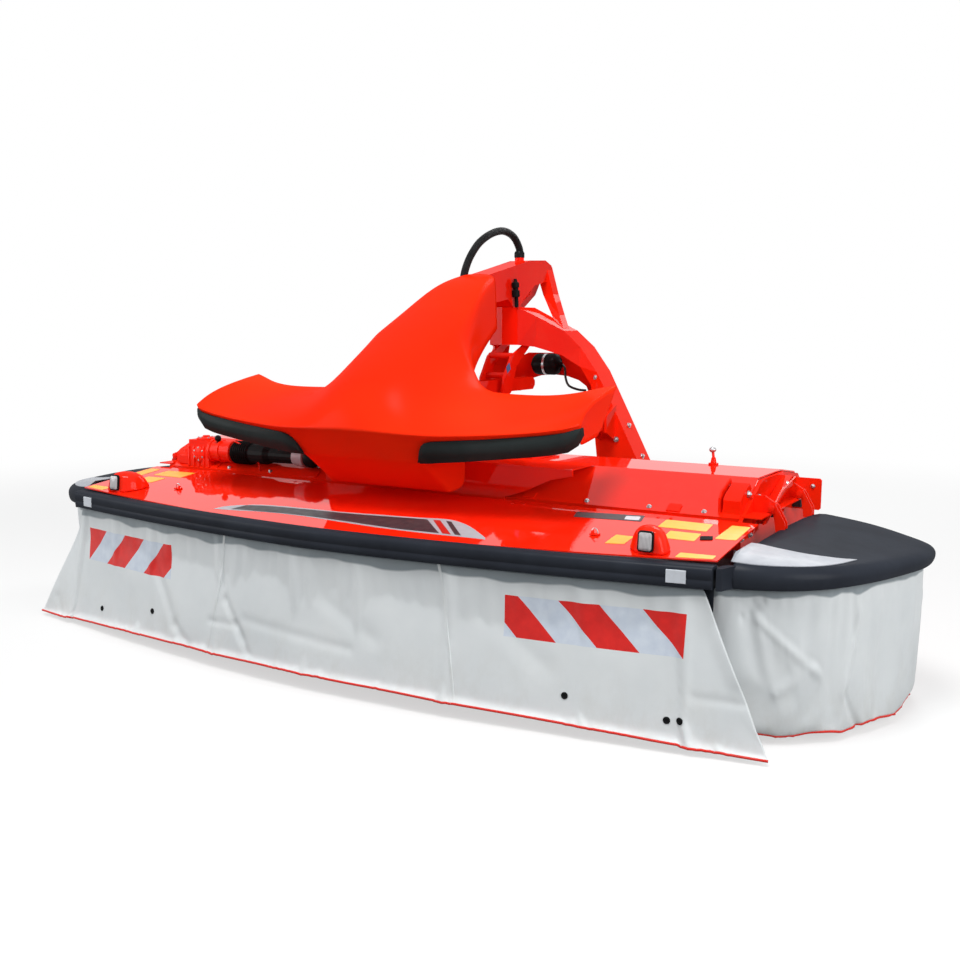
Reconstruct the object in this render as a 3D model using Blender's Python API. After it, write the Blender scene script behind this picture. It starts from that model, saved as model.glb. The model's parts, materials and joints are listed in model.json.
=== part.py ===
"""Front-mounted disc mower conditioner, about 3.1 m working width.

Metres, +Z up.  X runs across the machine (+X is its left side), +Y points back
towards the tractor that pushes it, and the ground is z = 0.  All sizes below are
measured from the centre of the front rim (y = 0); the empty "machine" then moves
everything so that the part's own origin is the centre of its footprint.
"""
import math

import bmesh
import bpy
from mathutils import Vector

# ---------------------------------------------------------------- general
GAP = 0.0003            # seat between two solids that touch
PIN_CLEAR = 0.0006      # hole over pin, on the radius
SHEET = 0.005           # pressed steel panels
PLATE = 0.015           # cut steel plates
ROUND_SIDES = 16        # sides of a round bar

# ---------------------------------------------------------------- front hood and rim
RIM_HALF = 1.48         # half width of the rim and the deck
RIM_TOP = 0.603
RIM_BOTTOM = 0.53
RIM_DEPTH = 0.055
RIM_SWEEP = 0.164       # how far the rim's ends lie behind its middle
RIM_POWER = 1.62
RIM_STATIONS = 12       # straight pieces over the half width
DECK_FRONT_Z = 0.592
DECK_SLOPE = 0.109
HINGE_Y = 0.655
HINGE_Z = 0.643
DECK_BACK = 0.648
HOOD_HINGES = (-1.15, -0.55, 0.55, 1.15)
HINGE_PIN_RADIUS = 0.008
EAR_WIDTH = 0.008
EAR_OFFSET = 0.024

LAMP_X = RIM_HALF - 0.246
LAMP_Y = 0.228
LAMP_LENGTH = 0.11
LAMP_WIDTH = 0.066
LAMP_HEIGHT = 0.062
LAMP_STEPS = ((0.0, 1.0), (0.55, 0.94), (0.85, 0.74), (1.0, 0.40))   # rise, share of the outline

# ---------------------------------------------------------------- curtains
CURTAIN = 0.006
CURTAIN_LOW = 0.012     # height of the hem at its ends
CURTAIN_RISE = 0.045    # how much higher its middle hangs
SIDE_CURTAIN_LOW = 0.03
CURTAIN_TOP_HALF = 1.45
CURTAIN_LOW_HALF = 1.69
CURTAIN_TOP_BACK = 0.022
CURTAIN_LOW_FRONT = 0.048

# ---------------------------------------------------------------- frame
BEAM_HALF = RIM_HALF - 0.08
BEAM_Y = 0.73
BEAM_Z = 0.605
BEAM_SIZE = 0.10
REAR_BEAM_Y = 1.43
REAR_BEAM_Z = 0.64
REAR_BEAM_SIZE = 0.06

# conditioner hood, a bent sheet: y, z of its outer face
HOOD_BENDS = ((0.685, 0.668), (0.90, 0.788), (1.20, 0.785), (1.40, 0.755), (1.475, 0.70))

# end plates of the frame: y, z round the outline
SIDE_PLATE = ((0.62, 0.062), (0.62, 0.100), (0.76, 0.108), (0.76, 0.30), (0.665, 0.40), (0.665, 0.655),
              (0.90, 0.780), (1.20, 0.777), (1.40, 0.747), (1.475, 0.69), (1.475, 0.24), (1.30, 0.14),
              (0.90, 0.062))

# ---------------------------------------------------------------- cutterbar and discs
DISC_COUNT = 7
DISC_PITCH = (RIM_HALF - 0.19) / 3
DISC_Y = 0.45
BAR_FRONT = 0.34
BAR_BACK = 0.58
BAR_LOW = 0.055
BAR_TOP = 0.105
BAR_OVERHANG = 0.15
SKID_WIDTH = 0.20
SKID_PROFILE = ((0.290, 0.085), (0.300, 0.045), (0.335, 0.012), (0.385, 0.0), (0.560, 0.0), (0.610, 0.020),
                (0.625, 0.045), (0.615, 0.054), (0.585, 0.054), (0.575, 0.070), (0.345, 0.085))
HUB_RADIUS = 0.055
DISC_LONG = 0.205
DISC_SHORT = 0.150
DISC_LOW = 0.124
DISC_EDGE = 0.010
DISC_CROWN = 0.030
DISC_SHOULDER = 0.72     # radius shares of the crown
DISC_FLAT = 0.40
KNIFE_TIP = 0.265
KNIFE_ROOT = 0.165
KNIFE_WIDTH = 0.042
KNIFE_THICK = 0.005
DRUM_RADIUS = 0.125
DRUM_HEIGHT = 0.22

# ---------------------------------------------------------------- conditioner rotor
ROTOR_Y = 1.06
ROTOR_Z = 0.42
ROTOR_TUBE = 0.085
ROTOR_HALF = BEAM_HALF - 0.115
ROTOR_STUB = 0.03
TINE_TIP = 0.285
TINE_WIDTH = 0.045
TINE_THICK = 0.012
TINE_ROWS = 4
TINES_IN_ROW = 11
TINE_TURN = 30.0        # degrees that one row winds from end to end

# ---------------------------------------------------------------- carrier on the mower
SADDLE_HALF = 0.45
SADDLE_FRONT = 0.91
SADDLE_BACK = 1.16
SADDLE_PLATE = 0.012
BRACE_TOP_Z = 0.80
# brace in front of the saddle: x, z from its foot up to its crown
BRACE = ((0.45, 0.668), (0.54, 0.697), (0.66, 0.752), (0.75, 0.772), (0.75, 0.797), (0.50, BRACE_TOP_Z),
         (0.27, BRACE_TOP_Z))
CROSS_DRIVE = (0.235 - BEAM_HALF, -0.460)    # ends of the shaft between the gearboxes
CROSS_AXIS = (0.725, 0.752)
# share of the way from the end gearbox to the middle, radius
CROSS_STEPS = ((0.0, 0.022), (0.092, 0.022), (0.100, 0.042), (0.150, 0.046), (0.475, 0.046), (0.518, 0.036),
               (0.716, 0.033), (0.723, 0.024), (1.0, 0.024))
GEARBOX_FRONT = 0.912
GEARBOX_SIZE = 0.108
GEARBOX_HALF = 0.11
# height over its foot, radius
GEARBOX_STEPS = ((0.01, 0.05), (0.07, 0.05), (0.095, 0.03))
END_BOX_FRONT = 0.69
END_BOX_BACK = 0.79
END_BOX_TOP = 0.80
END_BOX_LENGTH = 0.135
ARM_X = 0.37
ARM_FRONT_Y = 1.02
HITCH_PAD_Y = 2.03      # where the tractor's coupling rests
LEG_BACK = HITCH_PAD_Y - 0.05
LEG_DEPTH = 0.15
ARM_BACK_Y = LEG_BACK - LEG_DEPTH - 0.07
ARM_Z = 0.87
ARM_HEIGHT = 0.07
ARM_WIDTH = 0.05
ARM_PIN = 0.016
ARM_TIE = 0.025
ARM_TIE_AHEAD = 0.40
LINK_Z = 1.06
LINK_HEIGHT = 0.06
LINK_WIDTH = 0.05
CHEEK = 0.012
CHEEK_CLEAR = 0.006

# ---------------------------------------------------------------- stands, doors, side guards
STAND_X = 0.90
STAND_Y = 1.455
STAND_Z = 0.545
STAND_TUBE = 0.045
STAND_FOOT = 0.16
STAND_FOOT_THICK = 0.012
STAND_OVER_CENTRE = 0.02

DOOR_X = BEAM_HALF - 0.075
DOOR_Y = 1.50
DOOR_LENGTH = 0.42
DOOR_LOW = 0.16
DOOR_TOP = 0.62
DOOR_PIN = 0.012
DOOR_LUG_REACH = 0.03

GUARD_X = RIM_HALF + 0.0075
GUARD_Z = 0.702
GUARD_PIN = 0.009
GUARD_EARS = (0.80, 1.18)
GUARD_LOW = 0.525
GUARD_ROOT = 0.018      # from the rim's end to the guard
# side guard's outline at its lower edge: x beyond the rim's end, y, from the front round to the back
GUARD_OUTLINE = ((GUARD_ROOT, 0.235), (0.101, 0.250), (0.214, 0.303), (0.317, 0.397), (0.410, 0.555),
                 (0.478, 0.727), (0.521, 0.880), (0.516, 1.045), (0.430, 1.150), (0.257, 1.275),
                 (GUARD_ROOT, 1.330))
# side curtain's run: x beyond the rim's end and y at its top, the same at its hem
SIDE_CURTAIN = ((0.024, 0.268, 0.095, 0.310), (0.095, 0.281, 0.155, 0.340), (0.196, 0.329, 0.231, 0.400),
                (0.292, 0.417, 0.320, 0.470), (0.345, 0.500, 0.365, 0.540), (0.383, 0.569, 0.410, 0.640),
                (0.449, 0.737, 0.462, 0.790), (0.491, 0.885, 0.476, 0.960), (0.486, 1.035, 0.460, 1.070),
                (0.405, 1.122, 0.395, 1.150), (0.245, 1.244, 0.240, 1.260))
GUARD_FLANGE = 0.055
GUARD_LIP = 0.010
# share of the outline, height over the lower edge at the outer end, slope up towards the machine
GUARD_DOME = ((1.0, 0.0, 0.0), (1.012, 0.025, 0.02), (0.995, 0.045, 0.05), (0.93, 0.052, 0.085),
              (0.60, 0.055, 0.105), (0.20, 0.058, 0.105))
# the same from the middle out along the inside, with how far the point is pulled in
GUARD_LINING = ((0.20, 0.052, 0.105, 0.0), (0.60, 0.049, 0.105, 0.0), (0.93, 0.046, 0.085, 0.004),
                (0.99, 0.037, 0.05, 0.006), (0.99, 0.014, 0.02, 0.006))
GUARD_CENTRE = (0.12, 0.75)

# ---------------------------------------------------------------- carrying frame
# arch arm on +X: inner x, inner z, outer x, outer z, front and back as distances ahead of the legs' back
ARCH_STATIONS = (
    (0.00, 1.250, 0.00, 1.425, 0.540, 0.380),
    (0.075, 1.250, 0.075, 1.425, 0.525, 0.355),
    (0.11, 1.240, 0.125, 1.380, 0.420, 0.270),
    (0.19, 1.198, 0.200, 1.315, 0.290, 0.140),
    (0.245, 1.140, 0.245, 1.235, 0.200, 0.040),
    (0.285, 1.050, 0.315, 1.115, 0.160, 0.0),
    (0.297, 0.870, 0.440, 0.875, LEG_DEPTH, 0.0),
    (0.322, 0.660, 0.545, 0.670, LEG_DEPTH, 0.0),
    (0.350, 0.470, 0.545, 0.470, LEG_DEPTH, 0.0),
)
HEAD_Z = 1.425          # top of the arch's head
HEAD_BACK = LEG_BACK - 0.38
# cross plate behind the arch, right half: x, z; a round cut-out follows below it
ARCH_PLATE = ((0.20, 1.0), (0.345, 1.0), (0.325, 1.08), (0.25, 1.155), (0.15, 1.20))
CUTOUT_RISE = 0.09
NECK_HALF = 0.055
NECK_BACK = LEG_BACK - 0.145
NECK_BEND = 1.24        # behind the cover's crown
# the neck's front end under the cover: y, z
NECK_FRONT = ((1.12, 1.500), (1.20, 1.5606), (NECK_BEND, 1.569))
# the rest of the neck: share of the way from the bend to its back, z
NECK_REAR = ((0.252, 1.600), (0.622, 1.647), (0.891, 1.655), (1.0, 1.632), (1.0, 1.585), (0.924, 1.555),
             (0.706, 1.530), (0.504, 1.460), (0.462, HEAD_Z + GAP), (0.353, HEAD_Z + GAP), (0.269, 1.460))
NECK_TIP_LOW = 1.42
# struts down to the arch: x, distance ahead of the neck's back, z
STRUT = ((0.022, 0.015, 1.615), (0.066, 0.025, 1.49), (0.118, 0.060, 1.405))
STRUT_FOOT = (0.163, 0.100)
STRUT_HALF = 0.028
STRUT_DEPTH = 0.03
LINK_SPREAD = 0.062
# plates of the lift link below the arch's head: distance ahead of the head's back, z
LINK_PLATE = ((0.185, 1.20), (0.255, 1.10), (0.265, 1.03), (0.235, 1.01), (0.19, 1.03), (0.14, 1.15))
LINK_SPACERS = ((0.17, 1.20), (0.205, 1.11))
HOSE_RADIUS = 0.0175
HOSE_ROUTE = ((-0.080, 1.222, 1.500), (-0.080, 1.228, 1.555), (-0.078, 1.245, 1.602), (-0.070, 1.275, 1.657),
              (-0.060, 1.335, 1.718), (-0.050, 1.428, 1.764), (-0.042, 1.525, 1.782), (-0.034, 1.608, 1.760),
              (-0.025, 1.650, 1.705))
HOSE_START = (-0.080, 1.222, 1.460)
HOSE_END = (-0.025, NECK_BACK - 0.185, 1.664)
ACCUMULATOR = (LEG_BACK - 0.08, 1.145)
ACCUMULATOR_WAIST = 0.049
# half of the accumulator: distance from its middle, radius
ACCUMULATOR_STEPS = ((0.018, ACCUMULATOR_WAIST), (0.02, 0.055), (0.07, 0.055), (0.095, 0.045), (0.10, 0.025))
HITCH_HALF = 0.44       # middle of each coupling pad
HITCH_PAD = 0.131
HITCH_LOW = 0.46
HITCH_HIGH = 0.61
HITCH_TUBE = (0.50, 0.57)

# ---------------------------------------------------------------- moulded cover
COVER_WALL = 0.006
# half of the shell: rows run from the chin over the bow to the crown, columns from the middle out
COVER_ROWS = (
    ((0, .500, .700), (.15, .504, .699), (.29, .520, .694), (.41, .620, .704)),
    ((0, .412, .765), (.15, .415, .765), (.29, .435, .763), (.40, .605, .770)),
    ((0, .328, .830), (.15, .330, .830), (.29, .338, .830), (.385, .585, .850)),
    ((0, .262, .920), (.16, .266, .918), (.335, .292, .912), (.52, .322, .925), (.72, .345, .948),
     (.875, .362, .970), (.920, .385, .986), (.906, .425, .930)),
    ((0, .240, .952), (.16, .245, .948), (.345, .262, .940), (.52, .288, .949), (.72, .326, .963),
     (.875, .352, .985), (.924, .380, 1.003), (.905, .430, .926)),
    ((0, .262, 1.030), (.16, .285, 1.020), (.33, .335, .988), (.52, .368, .982), (.72, .395, .990),
     (.865, .415, 1.025), (.912, .436, 1.045), (.903, .465, .928)),
    ((0, .345, 1.145), (.15, .365, 1.125), (.28, .440, 1.045), (.52, .490, 1.014), (.72, .505, 1.022),
     (.85, .530, 1.062), (.905, .535, 1.080), (.900, .515, .934)),
    ((0, .490, 1.232), (.13, .498, 1.222), (.21, .520, 1.180), (.36, .600, 1.045), (.70, .590, 1.048),
     (.84, .645, 1.094), (.901, .655, 1.106), (.898, .560, .940)),
    ((0, .690, 1.345), (.13, .695, 1.335), (.205, .710, 1.300), (.33, .730, 1.078), (.68, .665, 1.070),
     (.83, .725, 1.108), (.898, .745, 1.122), (.896, .600, .946)),
    ((0, .880, 1.440), (.12, .884, 1.430), (.185, .885, 1.395), (.175, .850, 1.105)),
    ((0, 1.050, 1.540), (.105, 1.052, 1.532), (.145, 1.050, 1.500), (.145, 1.020, 1.235)),
    ((0, 1.200, 1.572), (.085, 1.200, 1.565), (.105, 1.200, 1.545), (.115, 1.195, 1.325)),
)
# trim under a wing: x, y and z of the lower edge, y and z of the upper edge, depth
TRIM_STATIONS = ((0.345, 0.314, 0.842, 0.284, 0.897, 0.006), (0.42, 0.330, 0.842, 0.298, 0.895, 0.006),
                 (0.50, 0.339, 0.849, 0.309, 0.902, 0.010), (0.57, 0.348, 0.856, 0.326, 0.9300, 0.030),
                 (0.72, 0.362, 0.874, 0.341, 0.9472, 0.035),
                 (0.87, 0.380, 0.902, 0.358, 0.9685, 0.030), (0.892, 0.398, 0.925, 0.380, 0.955, 0.018))


# ================================================================ tools
def clear_scene():
    for piece in list(bpy.data.objects):
        bpy.data.objects.remove(piece, do_unlink=True)


def make_material(name, colour, roughness, metallic):
    material = bpy.data.materials.new(name)
    material.use_nodes = True
    shader = material.node_tree.nodes["Principled BSDF"]
    shader.inputs["Base Color"].default_value = (*colour, 1.0)
    shader.inputs["Roughness"].default_value = roughness
    shader.inputs["Metallic"].default_value = metallic
    return material


def make_empty(name, place, parent=None):
    empty = bpy.data.objects.new(name, None)
    bpy.context.collection.objects.link(empty)
    empty.parent = parent
    empty.location = place
    return empty


def solid(name, points, faces, material):
    """One closed mesh, its faces turned outwards."""
    mesh = bpy.data.meshes.new(name)
    mesh.from_pydata([tuple(point) for point in points], [], [tuple(face) for face in faces])
    work = bmesh.new()
    work.from_mesh(mesh)
    bmesh.ops.recalc_face_normals(work, faces=work.faces)
    if work.calc_volume(signed=True) < 0:
        bmesh.ops.reverse_faces(work, faces=work.faces)
    work.to_mesh(mesh)
    work.free()
    piece = bpy.data.objects.new(name, mesh)
    bpy.context.collection.objects.link(piece)
    mesh.materials.append(material)
    return piece


def in_triangles(piece):
    """Splits a twisted sheet's faces, so that its mirrored copy has the same ones."""
    work = bmesh.new()
    work.from_mesh(piece.data)
    bmesh.ops.triangulate(work, faces=work.faces)
    work.to_mesh(piece.data)
    work.free()
    return piece


def on_axis(axis, along, first, second):
    """A point from its place along an axis and its two other coordinates."""
    if axis == "x":
        return (along, first, second)
    if axis == "y":
        return (first, along, second)
    return (first, second, along)


def prism(name, outline, axis, low, high, material):
    count = len(outline)
    points = [on_axis(axis, low, *corner) for corner in outline]
    points += [on_axis(axis, high, *corner) for corner in outline]
    faces = [tuple(range(count)), tuple(range(2 * count - 1, count - 1, -1))]
    for i in range(count):
        j = (i + 1) % count
        faces.append((i, j, count + j, count + i))
    return solid(name, points, faces, material)


def block(name, x, y, z, material):
    outline = ((x[0], y[0]), (x[1], y[0]), (x[1], y[1]), (x[0], y[1]))
    return prism(name, outline, "z", z[0], z[1], material)


def circle(centre, radius, sides=ROUND_SIDES):
    step = 2 * math.pi / sides
    return [(centre[0] + radius * math.cos(i * step), centre[1] + radius * math.sin(i * step))
            for i in range(sides)]


def bar(name, centre, radius, axis, low, high, material, sides=ROUND_SIDES):
    return prism(name, circle(centre, radius, sides), axis, low, high, material)


def rings(name, loops, material):
    """Skin over closed loops of equal length, capped at both ends."""
    count = len(loops[0])
    points = [point for loop in loops for point in loop]
    faces = [tuple(range(count)), tuple(range(len(points) - 1, len(points) - count - 1, -1))]
    for k in range(len(loops) - 1):
        for i in range(count):
            j = (i + 1) % count
            faces.append((k * count + i, k * count + j, (k + 1) * count + j, (k + 1) * count + i))
    return solid(name, points, faces, material)


def turned(name, profile, centre, axis, material, sides=ROUND_SIDES, stretch=(1.0, 1.0)):
    """A lathe shape from (place along the axis, radius) pairs."""
    loops = []
    for along, radius in profile:
        loop = [on_axis(axis, along, centre[0] + stretch[0] * radius * math.cos(2 * math.pi * i / sides),
                        centre[1] + stretch[1] * radius * math.sin(2 * math.pi * i / sides))
                for i in range(sides)]
        loops.append(loop)
    return rings(name, loops, material)


def apply_modifiers(piece):
    bpy.context.view_layer.update()
    depsgraph = bpy.context.evaluated_depsgraph_get()
    mesh = bpy.data.meshes.new_from_object(piece.evaluated_get(depsgraph))
    piece.modifiers.clear()
    piece.data = mesh


def combine(piece, others, operation):
    for other in others:
        step = piece.modifiers.new("combine", "BOOLEAN")
        step.operation = operation
        step.solver = "EXACT"
        step.object = other
        apply_modifiers(piece)
        bpy.data.objects.remove(other, do_unlink=True)
    return piece


def fuse(piece, *others):
    return combine(piece, others, "UNION")


def cut(piece, *others):
    return combine(piece, others, "DIFFERENCE")


def mirrored(name, piece):
    """The same piece on the other side of the machine's middle plane."""
    mesh = piece.data.copy()
    work = bmesh.new()
    work.from_mesh(mesh)
    for vertex in work.verts:
        vertex.co.x = -vertex.co.x
    bmesh.ops.reverse_faces(work, faces=work.faces)
    work.to_mesh(mesh)
    work.free()
    copy = bpy.data.objects.new(name, mesh)
    bpy.context.collection.objects.link(copy)
    return copy


def offset_line(points, distance):
    """Points moved sideways, to the right of the direction of travel."""
    moved = []
    for i, point in enumerate(points):
        before = Vector(points[max(i - 1, 0)])
        after = Vector(points[min(i + 1, len(points) - 1)])
        run = (after - before).normalized()
        moved.append((point[0] + run.y * distance, point[1] - run.x * distance))
    return moved


def strip(points, thickness):
    """Closed outline of a bent sheet: a line and the same line set off to its right."""
    return list(points) + offset_line(points, thickness)[::-1]


def rim_y(x):
    return RIM_SWEEP * (abs(x) / RIM_HALF) ** RIM_POWER


def deck_z(y):
    return DECK_FRONT_Z + DECK_SLOPE * y


# ================================================================ sub-parts
def make_main_beam(red):
    half = BEAM_SIZE / 2
    beam = block("main_beam", (-BEAM_HALF + GAP, BEAM_HALF - GAP), (BEAM_Y - half, BEAM_Y + half),
                 (BEAM_Z - half, BEAM_Z + half), red)
    front = BEAM_Y - half
    tab = 2 * HINGE_PIN_RADIUS
    brackets = []
    for x in HOOD_HINGES:
        outline = ((HINGE_Y - tab, HINGE_Z - tab), (front, BEAM_Z - 0.035), (front + 0.02, BEAM_Z - 0.035),
                   (front + 0.02, BEAM_Z + 0.02), (front, BEAM_Z + 0.02), (HINGE_Y + 0.012, HINGE_Z - 0.01),
                   (HINGE_Y + 0.012, HINGE_Z + 0.008), (HINGE_Y - tab, HINGE_Z + 0.008))
        brackets.append(prism("bracket", outline, "x", x - EAR_WIDTH, x + EAR_WIDTH, red))
        reach = EAR_OFFSET + EAR_WIDTH
        brackets.append(bar("pin", (HINGE_Y, HINGE_Z), HINGE_PIN_RADIUS, "x", x - reach, x + reach, red, 12))
    return fuse(beam, *brackets)


def make_conditioner_hood(red):
    half = BEAM_SIZE / 2
    line = [(HOOD_BENDS[0][0], BEAM_Z + half + GAP)] + list(HOOD_BENDS)
    return prism("conditioner_hood", strip(line, SHEET), "x", -BEAM_HALF + GAP, BEAM_HALF - GAP, red)


def make_side_plates(red):
    outline = list(SIDE_PLATE)
    outline[0] = (BAR_BACK + GAP, outline[0][1])
    outline[1] = (BAR_BACK + GAP, outline[1][1])
    left = prism("side_plate_left", outline, "x", BEAM_HALF, BEAM_HALF + PLATE, red)
    hole = bar("hole", (ROTOR_Y, ROTOR_Z), ROTOR_STUB + PIN_CLEAR, "x", BEAM_HALF - 0.01,
               BEAM_HALF + PLATE + 0.01, red, 2 * ROUND_SIDES)
    cut(left, hole)
    return left, mirrored("side_plate_right", left)


def disc_places():
    middle = (DISC_COUNT - 1) / 2
    return [(i - middle) * DISC_PITCH for i in range(DISC_COUNT)]


def make_cutterbar(steel):
    end = disc_places()[-1] + BAR_OVERHANG
    chamfer = 0.04
    outline = ((-end, BAR_FRONT + chamfer), (-end + chamfer, BAR_FRONT), (end - chamfer, BAR_FRONT),
               (end, BAR_FRONT + chamfer), (end, BAR_BACK), (-end, BAR_BACK))
    bed = prism("cutterbar", outline, "z", BAR_LOW, BAR_TOP, steel)
    skids = [prism("skid", SKID_PROFILE, "x", x - SKID_WIDTH / 2, x + SKID_WIDTH / 2, steel)
             for x in disc_places()]
    return fuse(bed, *skids)


def make_disc(number, x, steel):
    """Oval disc on its hub with a knife at each end; the outer two carry a drum."""
    across = number % 2 == 1
    stretch = (DISC_LONG, DISC_SHORT) if across else (DISC_SHORT, DISC_LONG)
    top = DISC_LOW + DISC_EDGE + DISC_CROWN
    profile = ((DISC_LOW, 1.0), (DISC_LOW + DISC_EDGE, 1.0), (top - 0.4 * DISC_CROWN, DISC_SHOULDER),
               (top, DISC_FLAT))
    disc = turned(f"disc_{number}", profile, (x, DISC_Y), "z", steel, 24, stretch)
    hub = bar("hub", (x, DISC_Y), HUB_RADIUS, "z", BAR_TOP + GAP, top + 0.006, steel)
    half = KNIFE_WIDTH / 2
    knives = []
    for side in (-1, 1):
        near, far = sorted((side * KNIFE_ROOT, side * KNIFE_TIP))
        span = (DISC_LOW - KNIFE_THICK + 0.001, DISC_LOW + 0.001)
        if across:
            knives.append(block("knife", (x + near, x + far), (DISC_Y - half, DISC_Y + half), span, steel))
        else:
            knives.append(block("knife", (x - half, x + half), (DISC_Y + near, DISC_Y + far), span, steel))
    fuse(disc, hub, *knives)
    if number in (1, DISC_COUNT):
        drum = turned("drum", ((top - 0.006, DRUM_RADIUS), (top + DRUM_HEIGHT, 0.8 * DRUM_RADIUS)),
                      (x, DISC_Y), "z", steel)
        fuse(disc, drum)
    return disc


def make_conditioner_rotor(steel):
    axis = (ROTOR_Y, ROTOR_Z)
    tube = bar("conditioner_rotor", axis, ROTOR_TUBE, "x", -ROTOR_HALF, ROTOR_HALF, steel, ROUND_SIDES)
    reach = BEAM_HALF + PLATE
    stub = bar("stub", axis, ROTOR_STUB, "x", -reach, reach, steel, 2 * ROUND_SIDES)
    fuse(tube, stub)
    pitch = 2 * (ROTOR_HALF - TINE_WIDTH) / (TINES_IN_ROW - 1)
    points, faces = [], []
    for row in range(TINE_ROWS):
        for place in range(TINES_IN_ROW):
            share = place / (TINES_IN_ROW - 1)
            angle = math.radians(360.0 / TINE_ROWS * row + TINE_TURN * share)
            outward = Vector((0.0, math.cos(angle), math.sin(angle)))
            sideways = Vector((0.0, -math.sin(angle), math.cos(angle)))
            shift = (row % 2) * pitch / 2
            x = -ROTOR_HALF + TINE_WIDTH + place * pitch * (1 - 0.5 / (TINES_IN_ROW - 1)) + shift
            root = Vector((x, ROTOR_Y, ROTOR_Z))
            first = len(points)
            for radius in (ROTOR_TUBE - 0.012, TINE_TIP):
                for across, thick in ((-1, -1), (1, -1), (1, 1), (-1, 1)):
                    points.append(root + outward * radius + Vector((across * TINE_WIDTH / 2, 0, 0))
                                  + sideways * (thick * TINE_THICK / 2))
            for face in ((0, 1, 2, 3), (7, 6, 5, 4), (0, 4, 5, 1), (1, 5, 6, 2), (2, 6, 7, 3), (3, 7, 4, 0)):
                faces.append(tuple(first + corner for corner in face))
    return fuse(tube, solid("tines", points, faces, steel))


def make_rear_beam(red):
    half = REAR_BEAM_SIZE / 2
    beam = block("rear_beam", (-BEAM_HALF + GAP, BEAM_HALF - GAP), (REAR_BEAM_Y - half, REAR_BEAM_Y + half),
                 (REAR_BEAM_Z - half, REAR_BEAM_Z + half), red)
    extras = []
    for side in (-1, 1):
        x = side * STAND_X
        gap = STAND_TUBE / 2 + CHEEK_CLEAR
        for lean in (-1, 1):
            inner = x + lean * gap
            outer = x + lean * (gap + CHEEK)
            outline = ((STAND_Y - 0.03, STAND_Z - 0.03), (STAND_Y + 0.03, STAND_Z - 0.03),
                       (STAND_Y + 0.03, STAND_Z + 0.03), (REAR_BEAM_Y + half, REAR_BEAM_Z - half + 0.02),
                       (REAR_BEAM_Y - half, REAR_BEAM_Z - half + 0.02))
            extras.append(prism("cheek", outline, "x", min(inner, outer), max(inner, outer), red))
        reach = gap + CHEEK + 0.004
        extras.append(bar("pin", (STAND_Y, STAND_Z), 0.01, "x", x - reach, x + reach, red, 12))
        post_x = side * DOOR_X
        lugs = ((DOOR_LOW + 0.04, DOOR_LOW + 0.06), (DOOR_TOP - 0.06, DOOR_TOP - 0.04))
        drop = block("post", (post_x - 0.02, post_x + 0.02), (REAR_BEAM_Y - 0.02, REAR_BEAM_Y + 0.02),
                     (lugs[0][0], REAR_BEAM_Z), red)
        extras.append(drop)
        for low, high in lugs:
            extras.append(block("lug", (post_x - DOOR_PIN, post_x + DOOR_PIN), (REAR_BEAM_Y, DOOR_Y + 0.010),
                                (low, high), red))
        span = (lugs[0][0] - DOOR_LUG_REACH, lugs[1][1] + DOOR_LUG_REACH)
        extras.append(bar("pin", (post_x, DOOR_Y), DOOR_PIN, "z", *span, red, 12))
    return fuse(beam, *extras)


def make_stand(name, x, steel):
    """A swing-up leg whose foot stands a little ahead of its pivot."""
    half = STAND_TUBE / 2
    top = STAND_Z + half
    leg = block(name, (x - half, x + half), (STAND_Y - half, STAND_Y + half), (0.005, top), steel)
    middle = STAND_Y - STAND_OVER_CENTRE
    foot = block("foot", (x - STAND_FOOT / 2, x + STAND_FOOT / 2),
                 (middle - STAND_FOOT / 2, middle + STAND_FOOT / 2), (0.0, STAND_FOOT_THICK), steel)
    fuse(leg, foot)
    hole = bar("hole", (STAND_Y, STAND_Z), 0.01 + PIN_CLEAR, "x", x - 1.2 * half, x + 1.2 * half, steel, 12)
    return cut(leg, hole)


def make_swath_door(name, red):
    """Upright plate that guides the swath, hung on two barrels."""
    sheet = block(name, (DOOR_X - SHEET / 2, DOOR_X + SHEET / 2), (DOOR_Y + 0.02, DOOR_Y + DOOR_LENGTH),
                  (DOOR_LOW, DOOR_TOP), red)
    for low in (DOOR_LOW + 0.07, DOOR_TOP - 0.12):
        barrel = bar("barrel", (DOOR_X, DOOR_Y), DOOR_PIN + 0.012, "z", low, low + 0.05, red, 12)
        fuse(sheet, barrel)
    hole = bar("hole", (DOOR_X, DOOR_Y), DOOR_PIN + PIN_CLEAR, "z", DOOR_LOW, DOOR_TOP, red, 12)
    return cut(sheet, hole)


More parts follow.
